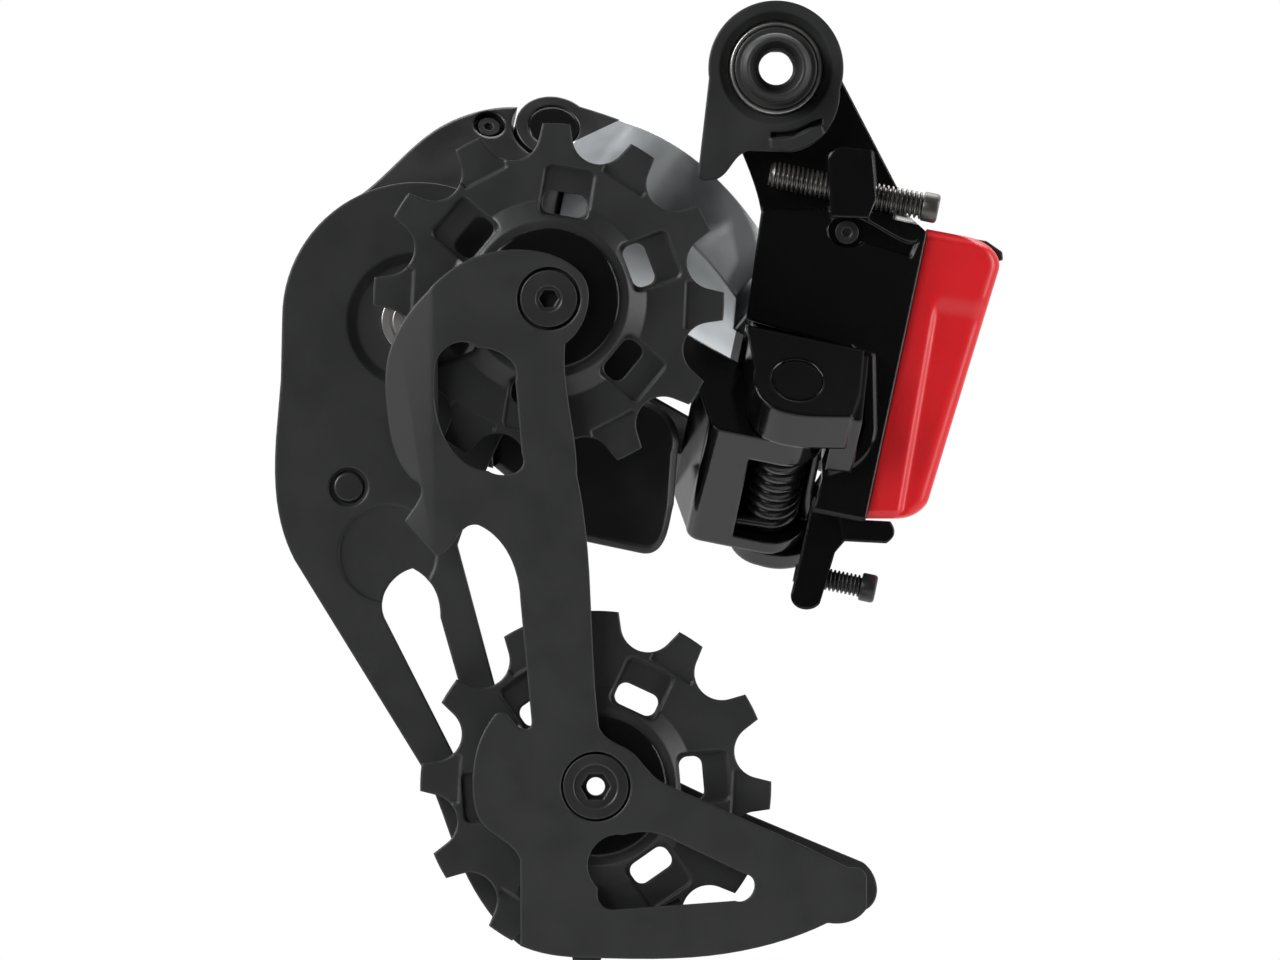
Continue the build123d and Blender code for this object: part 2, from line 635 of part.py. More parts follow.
with BuildPart() as outer_link:
    # bowed section square to the pins
    with BuildSketch(across(36.0, B_OUTER)):
        with Locations(Location((0, 0), 180 - LINK_REST)):
            with BuildSketch(mode=Mode.PRIVATE) as band:
                outline([(0, -5.2)], [(LINK / 2, -8.4), (LINK, -5.2)], [(LINK, 3.3)], [(0, 3.3)])
            add(band.sketch)
            Circle(EYE_R)
            with Locations((LINK, 0)):
                Circle(EYE_R)
    extrude(amount=36.0)
    # outline in the plane of both pins
    with BuildSketch(link_face(B_OUTER, P_OUTER)):
        outline(
            [(-7.0, -OUTER_B_EYE[0])],
            [(6.6, -OUTER_B_EYE[0])],
            [(7.2, -12.0)],
            [(13.0, -7.6), (20.0, -4.2), (27.0, -2.2), (34.0, -OUTER_P_EYE_NEAR[0])],
            [(LINK + 7, -OUTER_P_EYE_NEAR[0])],
            [(LINK + 7, -OUTER_P_EYE_FAR[1])],
            [(30.0, -OUTER_P_EYE_FAR[1])],
            [(14.0, -OUTER_B_EYE[1])],
            [(-7.0, -OUTER_B_EYE[1])],
        )
    extrude(amount=20, both=True, mode=Mode.INTERSECT)
    with BuildSketch(link_face(B_OUTER, P_OUTER)):
        with Locations((LINK + 4, -(OUTER_P_EYE_NEAR[1] + OUTER_P_EYE_FAR[0]) / 2)):
            Rectangle(8.0, OUTER_P_EYE_FAR[0] - OUTER_P_EYE_NEAR[1])
    extrude(amount=12, both=True, mode=Mode.SUBTRACT)
    pin_hole(P_OUTER, OUTER_P_EYE_NEAR[1], OUTER_P_EYE_FAR[0], 5.9)
    pin_hole(B_OUTER, *OUTER_B_EYE, PIN_R + BUSH_T)
    pin_hole(P_OUTER, *OUTER_P_EYE_NEAR, PIN_R)
    pin_hole(P_OUTER, OUTER_P_EYE_NEAR[0], OUTER_P_EYE_NEAR[0] + 0.9, PIN_HEAD_R)
    pin_hole(P_OUTER, *OUTER_P_EYE_FAR, PIN_R)
save(outer_link, "outer_link")

with BuildPart() as outer_link_bush:
    pin_stack(B_OUTER, [(*OUTER_B_EYE, PIN_R + BUSH_T)])
    pin_hole(B_OUTER, *OUTER_B_EYE, PIN_R + RUN)
save(outer_link_bush, "outer_link_bush")

with BuildPart() as p_outer_pin:
    pin_stack(P_OUTER, [
        (OUTER_P_EYE_NEAR[0] + 0.1, OUTER_P_EYE_NEAR[0] + 0.9, PIN_HEAD_R),
        (OUTER_P_EYE_NEAR[0] + 0.9, OUTER_P_EYE_FAR[1], PIN_R),
    ])
save(p_outer_pin, "p_outer_pin")


# ---------------------------------------------------------------- p-knuckle
HOUSING_R = 13.5
HOUSING_NEAR = -4.7
HOUSING_FAR = 20.0
CHAMBER_R = 9.3
CHAMBER_FAR = 11.0
SHAFT_R = 4.2
BEARING_SEAT_R = 6.2
P_FAR_EAR = EAR_FAR
OPEN_PIVOT_GAP = 0.25
TORX_AT = (-51.4, 36.2)
TORX_LEVEL = 2.2
CAP_T = 2.6
CAP_R = 8.0

with BuildPart() as p_knuckle:
    disc_stack(CAGE_AXIS, [(HOUSING_NEAR, HOUSING_FAR, HOUSING_R)])
    with BuildSketch(across(OUTER_P_BOSS[1])):
        outline(
            [(-68.2, 17.6)],
            [(-62.9, 26.6), (-58.2, 34.0), (-54.3, 37.5), (-50.3, 39.7), (-46.4, 40.6)],
            [(-44.6, 34.0)],
            [(-44.6, 18.0)],
            [(-46.0, 6.0)],
            [(-66.0, 8.0)],
        )
    extrude(amount=OUTER_P_BOSS[1] - 2.2)
    # boss of the outer link's pin
    with BuildSketch(across(OUTER_P_BOSS[1], P_OUTER)):
        Circle(5.0)
        straight((-4.0, 2.4), (0, 5.0), (0, -5.0), (-4.0, -6.0))
    extrude(amount=OUTER_P_BOSS[1] - OUTER_P_BOSS[0])
    # ears of the inner link's pin
    with BuildSketch(across(P_EAR_NEAR[1], P_INNER)):
        Circle(EYE_R)
        straight((0, EYE_R), (-12.0, 7.0), (-18.0, -4.0), (-8.0, -8.0), (0, -EYE_R))
    extrude(amount=P_EAR_NEAR[1] - P_EAR_NEAR[0])
    with BuildSketch(across(P_FAR_EAR[1], P_INNER)):
        Circle(EYE_R)
        outline([(-2.0, 5.3)], [(-6.0, 14.0)], [(-9.0, 16.4), (-13.0, 15.8), (-15.0, 12.0)], [(-5.4, -1.8)])
    extrude(amount=P_FAR_EAR[1] - P_FAR_EAR[0])
    with BuildSketch(across(P_FAR_EAR[1], P_INNER)):
        outline([(-6.9, 8.0)], [(-6.4, 14.0)], [(-9.0, 16.4), (-13.0, 15.8), (-15.0, 12.0)], [(-10.0, 5.0)])
    extrude(amount=P_FAR_EAR[1] - 22.0)
    # foot that carries the drive housing
    with BuildSketch(side(12.0)):
        straight((-62.0, -44.0), (-41.0, -44.0), (-41.0, -58.0), (-48.0, -56.0), (-58.0, -50.0))
    extrude(amount=12.0 + 3.5)
    # room for both links and their eyes
    link_room(P_INNER, B_INNER, INNER_LEVELS)
    link_room(P_OUTER, B_OUTER, OUTER_P_EYE_NEAR)
    link_room(P_OUTER, B_OUTER, OUTER_P_EYE_FAR)
    # cage pivot chamber and bearing seat, pin holes
    axle_hole(CAGE_AXIS, HOUSING_NEAR, CHAMBER_FAR, CHAMBER_R)
    axle_hole(CAGE_AXIS, HOUSING_NEAR, HOUSING_FAR, BEARING_SEAT_R)
    pin_hole(P_INNER, P_EAR_NEAR[0], P_FAR_EAR[1], PIN_R)
    pin_hole(P_OUTER, *OUTER_P_BOSS, PIN_R + OPEN_PIVOT_GAP)
    axle_hole(CAGE_AXIS, HOUSING_FAR, HOUSING_FAR + 30, CAP_R + 0.2)
    pin_hole(TORX_AT, TORX_LEVEL, TORX_LEVEL + 1.6, 2.3)
    pin_hole(TORX_AT, TORX_LEVEL, TORX_LEVEL + 6.0, 1.0)
save(p_knuckle, "p_knuckle")

with BuildPart() as p_inner_pin:
    pin_stack(P_INNER, [(P_EAR_NEAR[0], P_FAR_EAR[1], PIN_R)])
save(p_inner_pin, "p_inner_pin")

with BuildPart() as p_knuckle_screw:
    pin_stack(TORX_AT, [(TORX_LEVEL + 0.5, TORX_LEVEL + 1.6, 1.6), (TORX_LEVEL + 1.6, TORX_LEVEL + 6.0, 1.0)])
    with BuildSketch(across(TORX_LEVEL + 1.2, TORX_AT)):
        RegularPolygon(0.75, 6)
    extrude(amount=0.8, mode=Mode.SUBTRACT)
save(p_knuckle_screw, "p_knuckle_screw")

with BuildPart() as p_knuckle_cap:
    disc_stack(CAGE_AXIS, [
        (HOUSING_FAR, HOUSING_FAR + CAP_T, CAP_R),
        (HOUSING_FAR + CAP_T, HOUSING_FAR + CAP_T + 0.8, 4.6),
    ])
    chamfer(p_knuckle_cap.edges().filter_by(GeomType.CIRCLE).group_by(Axis.Y)[-1], 0.4)
    for hole_x in (-6.2, 6.2):
        axle_hole((CAGE_AXIS[0] + hole_x, CAGE_AXIS[1]), HOUSING_FAR + 0.8, HOUSING_FAR + CAP_T, 0.9)
save(p_knuckle_cap, "p_knuckle_cap")

with BuildPart() as cage_spring:
    disc_stack(CAGE_AXIS, [(HOUSING_NEAR + 1.6, 9.0, CHAMBER_R - 0.5)])
    axle_hole(CAGE_AXIS, HOUSING_NEAR, 9.0, CHAMBER_R - 2.5)
save(cage_spring, "cage_spring")

with BuildPart() as cage_damper:
    disc_stack(CAGE_AXIS, [(CHAMBER_FAR, CHAMBER_FAR + 4.2, BEARING_SEAT_R)])
    axle_hole(CAGE_AXIS, CHAMBER_FAR, CHAMBER_FAR + 4.2, SHAFT_R + RUN)
save(cage_damper, "cage_damper")

with BuildPart() as cage_bearing:
    disc_stack(CAGE_AXIS, [(CHAMBER_FAR + 4.2, HOUSING_FAR - 0.6, BEARING_SEAT_R)])
    axle_hole(CAGE_AXIS, CHAMBER_FAR, HOUSING_FAR, SHAFT_R + RUN)
save(cage_bearing, "cage_bearing")


# ---------------------------------------------------------------- drive unit under the p-knuckle
DRIVE_NEAR = -3.5
DRIVE_STEP = 4.0
DRIVE_FAR = 14.0
MOTOR_R = 2.9
MOTOR_END = -27.6
MOTOR_LENGTH = 9.8
MOTOR_AXIS = (5.2, -63.4)       # y and z of the motor's axis, along X
MOTOR_SHAFT_R = 0.8
MOTOR_SHAFT = 1.2

with BuildPart() as drive_housing:
    with BuildSketch(side(DRIVE_STEP)):
        outline(
            [(-41.0, -48.5)],
            [(-22.0, -48.0)],
            [(-17.4, -48.8), (-15.0, -51.0), (-14.3, -56.0)],
            [(-14.8, -63.2)],
            [(-15.7, -67.1), (-17.2, -69.8), (-19.6, -70.3)],
            [(-27.7, -68.6)],
            [(-41.0, -57.6)],
        )
    extrude(amount=DRIVE_STEP - DRIVE_NEAR)
    with BuildSketch(side(DRIVE_FAR)):
        outline(
            [(-41.0, -53.0)],
            [(-15.4, -58.2)],
            [(-14.8, -63.2)],
            [(-15.7, -67.1), (-17.2, -69.8), (-19.6, -70.3)],
            [(-27.7, -68.6)],
            [(-38.0, -60.0)],
        )
    extrude(amount=DRIVE_FAR - DRIVE_STEP)
    with BuildSketch(side(DRIVE_FAR)):
        straight((-37.0, -56.6), (-17.2, -60.4), (-17.0, -67.4), (-27.0, -66.8), (-35.6, -60.0))
    extrude(amount=DRIVE_FAR - DRIVE_NEAR - 2.0, mode=Mode.SUBTRACT)
    chamfer(drive_housing.faces().sort_by(Axis.Y)[0].edges(), 1.0)
save(drive_housing, "drive_housing")

with BuildPart() as drive_cover:
    with BuildSketch(side(DRIVE_FAR)):
        straight((-37.0, -56.6), (-17.2, -60.4), (-17.0, -67.4), (-27.0, -66.8), (-35.6, -60.0))
    extrude(amount=1.6)
    chamfer(drive_cover.edges().group_by(Axis.Y)[-1], 0.3)
save(drive_cover, "drive_cover")

with BuildPart() as drive_motor:
    with BuildSketch(Plane(origin=(MOTOR_END, *MOTOR_AXIS), x_dir=(0, 1, 0), z_dir=(1, 0, 0))):
        Circle(MOTOR_R)
    extrude(amount=MOTOR_LENGTH)
    with BuildSketch(Plane(origin=(MOTOR_END, *MOTOR_AXIS), x_dir=(0, 1, 0), z_dir=(-1, 0, 0))):
        Circle(MOTOR_SHAFT_R)
    extrude(amount=MOTOR_SHAFT)
save(drive_motor, "drive_motor")


# ---------------------------------------------------------------- cage
TENSION_RING_R = 5.05
GUIDE_HEAD_R = 4.1
STOP_PIN_AXIS = (-61.9, -60.7)
STOP_PIN_R = 2.2
DISH_R = 9.8                    # sunk land round the cage pivot
DISH_SLOPE = 55.0


def inner_plate_face():
    """Wheel-side plate: hook over the guide pulley, arm, and foot behind the tension pulley."""
    outline(
        [
            (-46.7, -29.1), (-42.8, -27.2), (-37.0, -26.4), (-31.6, -27.5),
            (-27.5, -31.0), (-27.3, -34.9), (-30.5, -40.0),
        ],
        [(-30.6, -42.6), (-29.3, -53.0), (-28.8, -59.0)],
        [(-26.8, -77.1), (-26.3, -88.0), (-25.6, -95.6)],
        [(-24.4, -97.0), (-21.2, -98.8), (-17.9, -102.3), (-15.6, -103.8)],
        [(3.7, -112.4)],
        [(10.4, -115.7)],
        [(12.3, -116.0), (13.1, -117.0)],
        [(13.1, -121.6)],
        [(12.2, -122.6), (7.4, -123.7)],
        [(0.5, -126.4), (-11.1, -128.6), (-25.8, -128.8), (-33.6, -128.1), (-37.0, -127.0)],
        [(-37.0, -114.6)],
        [(-38.3, -112.7), (-42.6, -109.2), (-43.9, -104.0), (-42.8, -97.2), (-40.6, -93.5)],
        [(-39.2, -93.4), (-37.2, -95.4), (-35.9, -95.6), (-35.4, -94.2)],
        [(-37.0, -77.1)],
        [(-37.9, -72.2), (-40.0, -68.5), (-43.1, -66.2)],
        [(-44.6, -66.4), (-46.3, -68.2), (-49.3, -70.6)],
        [(-53.9, -65.6)],
        [(-52.1, -63.1), (-51.4, -61.2), (-52.8, -59.5)],
        [(-54.6, -57.2), (-56.5, -50.0), (-56.4, -41.8), (-53.6, -36.0), (-50.6, -32.6)],
    )
    outline(
        [(-48.6, -41.5), (-46.9, -40.1), (-43.2, -40.6)],
        [(-39.3, -41.7), (-38.0, -43.0), (-37.7, -45.4)],
        [(-36.8, -55.8)],
        [(-37.1, -58.2), (-38.6, -58.9), (-41.6, -58.4)],
        [(-46.0, -56.4), (-48.3, -52.8), (-49.5, -45.8), (-49.3, -43.0)],
        mode=Mode.SUBTRACT,
    )
    outline(
        [(-26.1, -112.4), (-24.8, -111.4), (-22.1, -111.0)],
        [(-17.6, -110.7), (-14.3, -112.0)],
        [(-4.6, -116.6)],
        [(-3.2, -117.8), (-3.6, -119.6), (-6.0, -120.5)],
        [(-23.6, -121.8)],
        [(-25.2, -121.2), (-25.8, -118.7)],
        mode=Mode.SUBTRACT,
    )


with BuildPart() as inner_cage:
    with BuildSketch(side(INNER_PLATE[1])):
        inner_plate_face()
        with Locations((BEND_X, -80)):
            Rectangle(120, 120, align=(Align.MIN, Align.CENTER), mode=Mode.INTERSECT)
    extrude(amount=INNER_PLATE[1] - INNER_PLATE[0])
    # edge of the hook, bent outboard over the pulley
    bend = radians(BEND_ANGLE)
    bent_x = Vector(cos(bend), -sin(bend), 0)
    bent_origin = Vector(BEND_X, INNER_PLATE[0], 0) - bent_x * BEND_X
    with BuildSketch(Plane(origin=bent_origin, x_dir=bent_x, z_dir=(-sin(bend), -cos(bend), 0))):
        inner_plate_face()
        with Locations((BEND_X, -80)):
            Rectangle(60, 120, align=(Align.MAX, Align.CENTER), mode=Mode.INTERSECT)
    extrude(amount=INNER_PLATE[0] - INNER_PLATE[1])
    axle_hole(GUIDE_AXIS, *INNER_PLATE, AXLE_R)
    axle_hole(GUIDE_AXIS, INNER_PLATE[0] - 1, INNER_PLATE[0] + 1.2, GUIDE_HEAD_R + 0.5)
    axle_hole(TENSION_AXIS, *INNER_PLATE, AXLE_R)
    axle_hole(TENSION_AXIS, INNER_PLATE[0] - 1, INNER_PLATE[0] + 1.2, TENSION_RING_R)
save(inner_cage, "inner_cage")

with BuildPart() as outer_cage:
    with BuildSketch(side(OUTER_PLATE[1])):
        with Locations((-52.0, -36.1)):
            Circle(19.5)
        with Locations(GUIDE_AXIS):
            Circle(7.2)
        with Locations((-29.5, -39.5)):
            Circle(11.0)
        outline(
            [(-71.7, -45.2)],
            [(-72.5, -55.4), (-72.3, -62.6), (-69.7, -71.3)],
            [(-66.1, -77.1)],
            [(-51.6, -100.7)],
            [(-49.2, -105.6), (-45.5, -115.5), (-41.1, -122.9), (-37.2, -127.0)],
            [(-27.0, -128.3), (-8.0, -127.6), (8.0, -123.2), (13.2, -121.8)],
            [(14.5, -120.0), (14.4, -117.6), (12.5, -115.0)],
            [(-5.5, -107.5)],
            [(-15.0, -103.0)],
            [(-18.5, -98.5), (-26.1, -95.6), (-33.0, -97.4), (-38.4, -97.0)],
            [(-40.8, -89.0)],
            [(-46.1, -69.1)],
            [(-44.6, -64.8), (-40.0, -54.0), (-32.6, -40.6)],
            [(-52.0, -30.0)],
            [(-71.5, -36.1)],
        )
        outline(
            [(-54.4, -73.3), (-56.8, -76.4), (-56.4, -80.2)],
            [(-44.9, -102.8)],
            [(-42.9, -101.6), (-43.5, -97.6)],
            [(-48.6, -79.6)],
            [(-50.2, -74.4), (-52.6, -72.5)],
            mode=Mode.SUBTRACT,
        )
        # window of the foot, behind the one in the other plate
        outline(
            [(-21.0, -111.6), (-17.6, -110.9), (-14.0, -111.8)],
            [(-4.4, -116.3)],
            [(-2.8, -117.8), (-3.2, -119.8), (-5.8, -120.9)],
            [(-19.0, -122.0)],
            [(-21.6, -121.4), (-22.4, -118.9)],
            mode=Mode.SUBTRACT,
        )
    extrude(amount=OUTER_PLATE[1] - OUTER_PLATE[0])
    with BuildSketch(side(OUTER_PLATE[0], CAGE_AXIS)):
        Circle(DISH_R)
    extrude(amount=-0.9, taper=DISH_SLOPE, mode=Mode.SUBTRACT)
    axle_hole(CAGE_AXIS, *OUTER_PLATE, 4.8)
    axle_hole((-56.2, -70.3), OUTER_PLATE[0], OUTER_PLATE[0] + 0.3, 7.1)
    axle_hole(STOP_PIN_AXIS, OUTER_PLATE[0], OUTER_PLATE[0] + 0.8, 2.8)
    axle_hole(STOP_PIN_AXIS, *OUTER_PLATE, STOP_PIN_R)
    for axle in (GUIDE_AXIS, TENSION_AXIS):
        axle_hole(axle, *OUTER_PLATE, AXLE_R)
save(outer_cage, "outer_cage")

with BuildPart() as cage_shaft:
    disc_stack(CAGE_AXIS, [(*OUTER_PLATE, 4.8), (OUTER_PLATE[1], HOUSING_FAR - 0.6, SHAFT_R)])
    with BuildSketch(side(OUTER_PLATE[0] + 0.5, CAGE_AXIS)):
        Circle(3.55)
        Circle(3.2, mode=Mode.SUBTRACT)
    extrude(amount=0.6, mode=Mode.SUBTRACT)
save(cage_shaft, "cage_shaft")

with BuildPart() as cage_stop_pin:
    disc_stack(STOP_PIN_AXIS, [(OUTER_PLATE[0] + 0.1, OUTER_PLATE[1] + 2.6, STOP_PIN_R)])
    chamfer(cage_stop_pin.edges().group_by(Axis.Y)[0], 0.3)
save(cage_stop_pin, "cage_stop_pin")


def pulley_bolt(axis, head_r, key_r, dish_r, through):
    """Axle bolt of a pulley, its head sunk in the wheel-side plate."""
    seat = INNER_PLATE[0] + 1.2
    disc_stack(axis, [(seat, OUTER_PLATE[1], AXLE_R), (INNER_PLATE[0] + 0.1, seat, head_r)])
    axle_hole(axis, INNER_PLATE[0], INNER_PLATE[0] + 0.5, dish_r)
    with BuildSketch(side(seat + 1.4, axis)) as key:
        RegularPolygon(key_r, 6, major_radius=False)
    extrude(key.sketch, amount=4, mode=Mode.SUBTRACT)
    if through:
        axle_hole(axis, INNER_PLATE[0], OUTER_PLATE[1], through)


with BuildPart() as guide_bolt:
    pulley_bolt(GUIDE_AXIS, GUIDE_HEAD_R, 1.25, 1.9, None)
save(guide_bolt, "guide_bolt")

with BuildPart() as tension_bolt:
    pulley_bolt(TENSION_AXIS, TENSION_RING_R - 0.35, 1.9, 3.2, 1.33)
save(tension_bolt, "tension_bolt")


# ---------------------------------------------------------------- pulleys and their bearings
HUB_R = 11.5
HUB_HALF = 3.5
CONE_R = 14.3
SEAT_ANGLE = 64.0               # half the arc of a roller seat
GAP_REACH = 2.2                 # of a tooth gap, outside the pitch circle
WINDOW = (3.3, 6.3)
WINDOW_R = 13.9
POCKET = 7.4
POCKET_R = 15.6
RELIEF = (11.6, 13.4)           # width at the tooth's root, and length down to the hub
RELIEF_ANGLE = 80
POCKET_DEPTH = 0.85
COVER_NEAR_HALF = HUB_HALF + 0.25
COVER_FAR_HALF = (OUTER_PLATE[0] - INNER_PLATE[1]) / 2
RACE_OUT_R = 6.4
BALL_PITCH_R = (RACE_OUT_R + RACE_R) / 2


def pulley(axis, tooth_angle, window_angle):
    """Narrow-wide toothed wheel: coned hub, and six windows in pockets under the wide teeth."""
    step = 360 / TEETH
    seat_x = -ROLLER_R * cos(radians(SEAT_ANGLE))
    seat_y = ROLLER_R * sin(radians(SEAT_ANGLE))
    mouth_y = seat_y + (GAP_REACH - seat_x) / tan(radians(SEAT_ANGLE))
    with BuildSketch(side(PULLEY_Y + WIDE_T / 2, axis)) as wheel:
        Circle(TIP_R)
        with PolarLocations(PITCH_R, TEETH, start_angle=tooth_angle + step / 2):
            Circle(ROLLER_R, mode=Mode.SUBTRACT)
            Polygon(
                (seat_x, -seat_y), (GAP_REACH, -mouth_y), (GAP_REACH, mouth_y), (seat_x, seat_y),
                align=None, mode=Mode.SUBTRACT,
            )
    extrude(wheel.sketch, amount=WIDE_T)
    cone_angle = degrees(atan2(CONE_R - HUB_R, HUB_HALF - WIDE_T / 2))
    for turn in (1, -1):
        middle = Plane(origin=(axis[0], PULLEY_Y, axis[1]), x_dir=(1, 0, 0), z_dir=(0, turn, 0))
        with BuildSketch(middle.offset(WIDE_T / 2)) as cone:
            Circle(CONE_R)
        extrude(cone.sketch, amount=HUB_HALF - WIDE_T / 2, taper=cone_angle)
        with BuildSketch(middle.offset(WIDE_T / 2)) as narrow:
            with PolarLocations(TIP_R + 1, TEETH // 2, start_angle=turn * -tooth_angle + step):
                Trapezoid(*RELIEF, RELIEF_ANGLE, rotation=90)
        extrude(narrow.sketch, amount=-(WIDE_T - NARROW_T) / 2, mode=Mode.SUBTRACT)
        with BuildSketch(middle.offset(HUB_HALF)) as pockets:
            with PolarLocations(POCKET_R, 6, start_angle=turn * -window_angle):
                RectangleRounded(POCKET, POCKET, 1.0)
        extrude(pockets.sketch, amount=-(HUB_HALF - WIDE_T / 2 + POCKET_DEPTH), mode=Mode.SUBTRACT)
    with BuildSketch(side(PULLEY_Y + WIDE_T, axis)) as windows:
        with PolarLocations(WINDOW_R, 6, start_angle=window_angle):
            RectangleRounded(*WINDOW, 1.3)
    extrude(windows.sketch, amount=2 * WIDE_T, mode=Mode.SUBTRACT)
    axle_hole(axis, PULLEY_Y - HUB_HALF, PULLEY_Y + HUB_HALF, BEARING_R)


def bearing_ring(axis, inside, outside, half):
    """Plain ring about an axle."""
    disc_stack(axis, [(PULLEY_Y - half, PULLEY_Y + half, outside)])
    axle_hole(axis, PULLEY_Y - half, PULLEY_Y + half, inside)


def bearing_balls(axis):
    """Balls between both rings."""
    with Locations(side(PULLEY_Y, axis)):
        with PolarLocations(BALL_PITCH_R, BALLS):
            Sphere(BALL_R)


def bearing_covers(axis):
    """Discs each side of the hub, clamped between plate and inner ring."""
    for near, far in ((-COVER_FAR_HALF, -COVER_NEAR_HALF), (COVER_NEAR_HALF, COVER_FAR_HALF)):
        disc_stack(axis, [(PULLEY_Y + near, PULLEY_Y + far, COVER_R)])
    axle_hole(axis, PULLEY_Y - COVER_FAR_HALF, PULLEY_Y + COVER_FAR_HALF, AXLE_R)


for name, axis, tooth_angle, window_angle in (
    ("guide", GUIDE_AXIS, 87.5, 20.5),
    ("tension", TENSION_AXIS, 87.0, 5.0),
):
    with BuildPart() as wheel:
        pulley(axis, tooth_angle, window_angle)
    save(wheel, f"{name}_pulley")
    with BuildPart() as outer_ring:
        bearing_ring(axis, RACE_OUT_R, BEARING_R, HUB_HALF - 0.4)
    save(outer_ring, f"{name}_bearing_ring")
    with BuildPart() as balls:
        bearing_balls(axis)
    save(balls, f"{name}_bearing_balls")
    with BuildPart() as inner_ring:
        bearing_ring(axis, AXLE_R, RACE_R, COVER_NEAR_HALF)
    save(inner_ring, f"{name}_axle_sleeve")
    with BuildPart() as covers:
        bearing_covers(axis)
    save(covers, f"{name}_bearing_covers")
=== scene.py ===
"""Looks of a rear bicycle derailleur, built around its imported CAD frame.

Metres, in the frame's own axes: +X is the rear of the bicycle, +Y is outboard, +Z is up.
"""

import json
from math import cos, pi, radians, sin, tau

import bmesh
import bpy
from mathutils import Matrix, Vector


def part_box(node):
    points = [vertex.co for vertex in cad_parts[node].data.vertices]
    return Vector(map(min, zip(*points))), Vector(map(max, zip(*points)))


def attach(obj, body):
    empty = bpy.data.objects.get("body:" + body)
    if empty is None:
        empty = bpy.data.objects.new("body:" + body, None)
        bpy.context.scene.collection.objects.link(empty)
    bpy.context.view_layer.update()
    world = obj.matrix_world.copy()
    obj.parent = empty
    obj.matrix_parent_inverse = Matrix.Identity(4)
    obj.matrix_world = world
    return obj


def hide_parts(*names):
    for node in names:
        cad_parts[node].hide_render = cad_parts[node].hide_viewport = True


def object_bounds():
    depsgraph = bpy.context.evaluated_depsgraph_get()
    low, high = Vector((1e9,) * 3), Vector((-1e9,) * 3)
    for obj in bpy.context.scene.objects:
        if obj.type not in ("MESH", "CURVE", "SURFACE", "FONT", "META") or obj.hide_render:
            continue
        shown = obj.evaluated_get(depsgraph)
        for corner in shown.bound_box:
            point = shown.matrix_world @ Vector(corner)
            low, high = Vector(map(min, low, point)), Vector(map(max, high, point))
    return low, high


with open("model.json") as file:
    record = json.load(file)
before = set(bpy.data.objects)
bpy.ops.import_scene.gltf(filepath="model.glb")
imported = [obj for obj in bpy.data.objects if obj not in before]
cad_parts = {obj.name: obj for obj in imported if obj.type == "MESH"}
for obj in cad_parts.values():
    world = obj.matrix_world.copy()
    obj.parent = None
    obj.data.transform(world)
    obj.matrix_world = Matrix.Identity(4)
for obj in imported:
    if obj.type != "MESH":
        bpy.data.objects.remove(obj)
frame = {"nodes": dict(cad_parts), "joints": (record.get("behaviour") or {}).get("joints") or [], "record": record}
cad_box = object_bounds()

MM = 0.001
JOINTS = {joint["name"]: joint for joint in frame["joints"]}
NODES = frame["nodes"]
SLOT_OF = {row["node"]: row["material_slot"] for row in frame["record"]["subparts"]}
BODY_OF = {
    node: body
    for body, members in frame["record"]["behaviour"]["bodies"].items()
    for node in members
}


# ------------------------------------------------ camera, light and floor
VIEW_CENTRE = Vector((-19.7, 0.0, -59.7)) * MM      # level with the middle of the mechanism
VIEW_WIDTH = 185.5 * MM
CAMERA_DISTANCE = 6.0
CLIP_END = 30.0
SENSOR = 36.0                   # millimetres, as a camera's sensor is given
ROOM_LIGHT = 0.05               # the world's strength on the camera's side
BACKDROP_LIGHT = 1.0            # and behind the object
ROOM_EDGE = -0.35               # directions along Y between which one turns into the other
BACKDROP_EDGE = 0.75
FLOOR_RADIUS = 0.36
FLOOR_DROP = 0.09               # from the CAD's lowest point at rest: room for the swinging cage


def make_camera():
    """Long lens, level with the mechanism and square to its inboard side."""
    data = bpy.data.cameras.new("camera")
    data.sensor_width = SENSOR
    data.lens = SENSOR * CAMERA_DISTANCE / VIEW_WIDTH
    data.clip_end = CLIP_END
    camera = bpy.data.objects.new("camera", data)
    camera.location = VIEW_CENTRE + Vector((0, -CAMERA_DISTANCE, 0))
    camera.rotation_euler = (radians(90), 0, 0)
    bpy.context.scene.collection.objects.link(camera)
    bpy.context.scene.camera = camera


def make_softbox(name, towards, distance, size, power):
    """Rectangular area light that faces the object from the direction `towards`."""
    data = bpy.data.lights.new(name, "AREA")
    data.shape = "RECTANGLE"
    data.size, data.size_y = size
    data.energy = power
    light = bpy.data.objects.new(name, data)
    direction = Vector(towards).normalized()
    light.location = VIEW_CENTRE + direction * distance
    light.rotation_euler = direction.to_track_quat("Z", "Y").to_euler()
    bpy.context.scene.collection.objects.link(light)


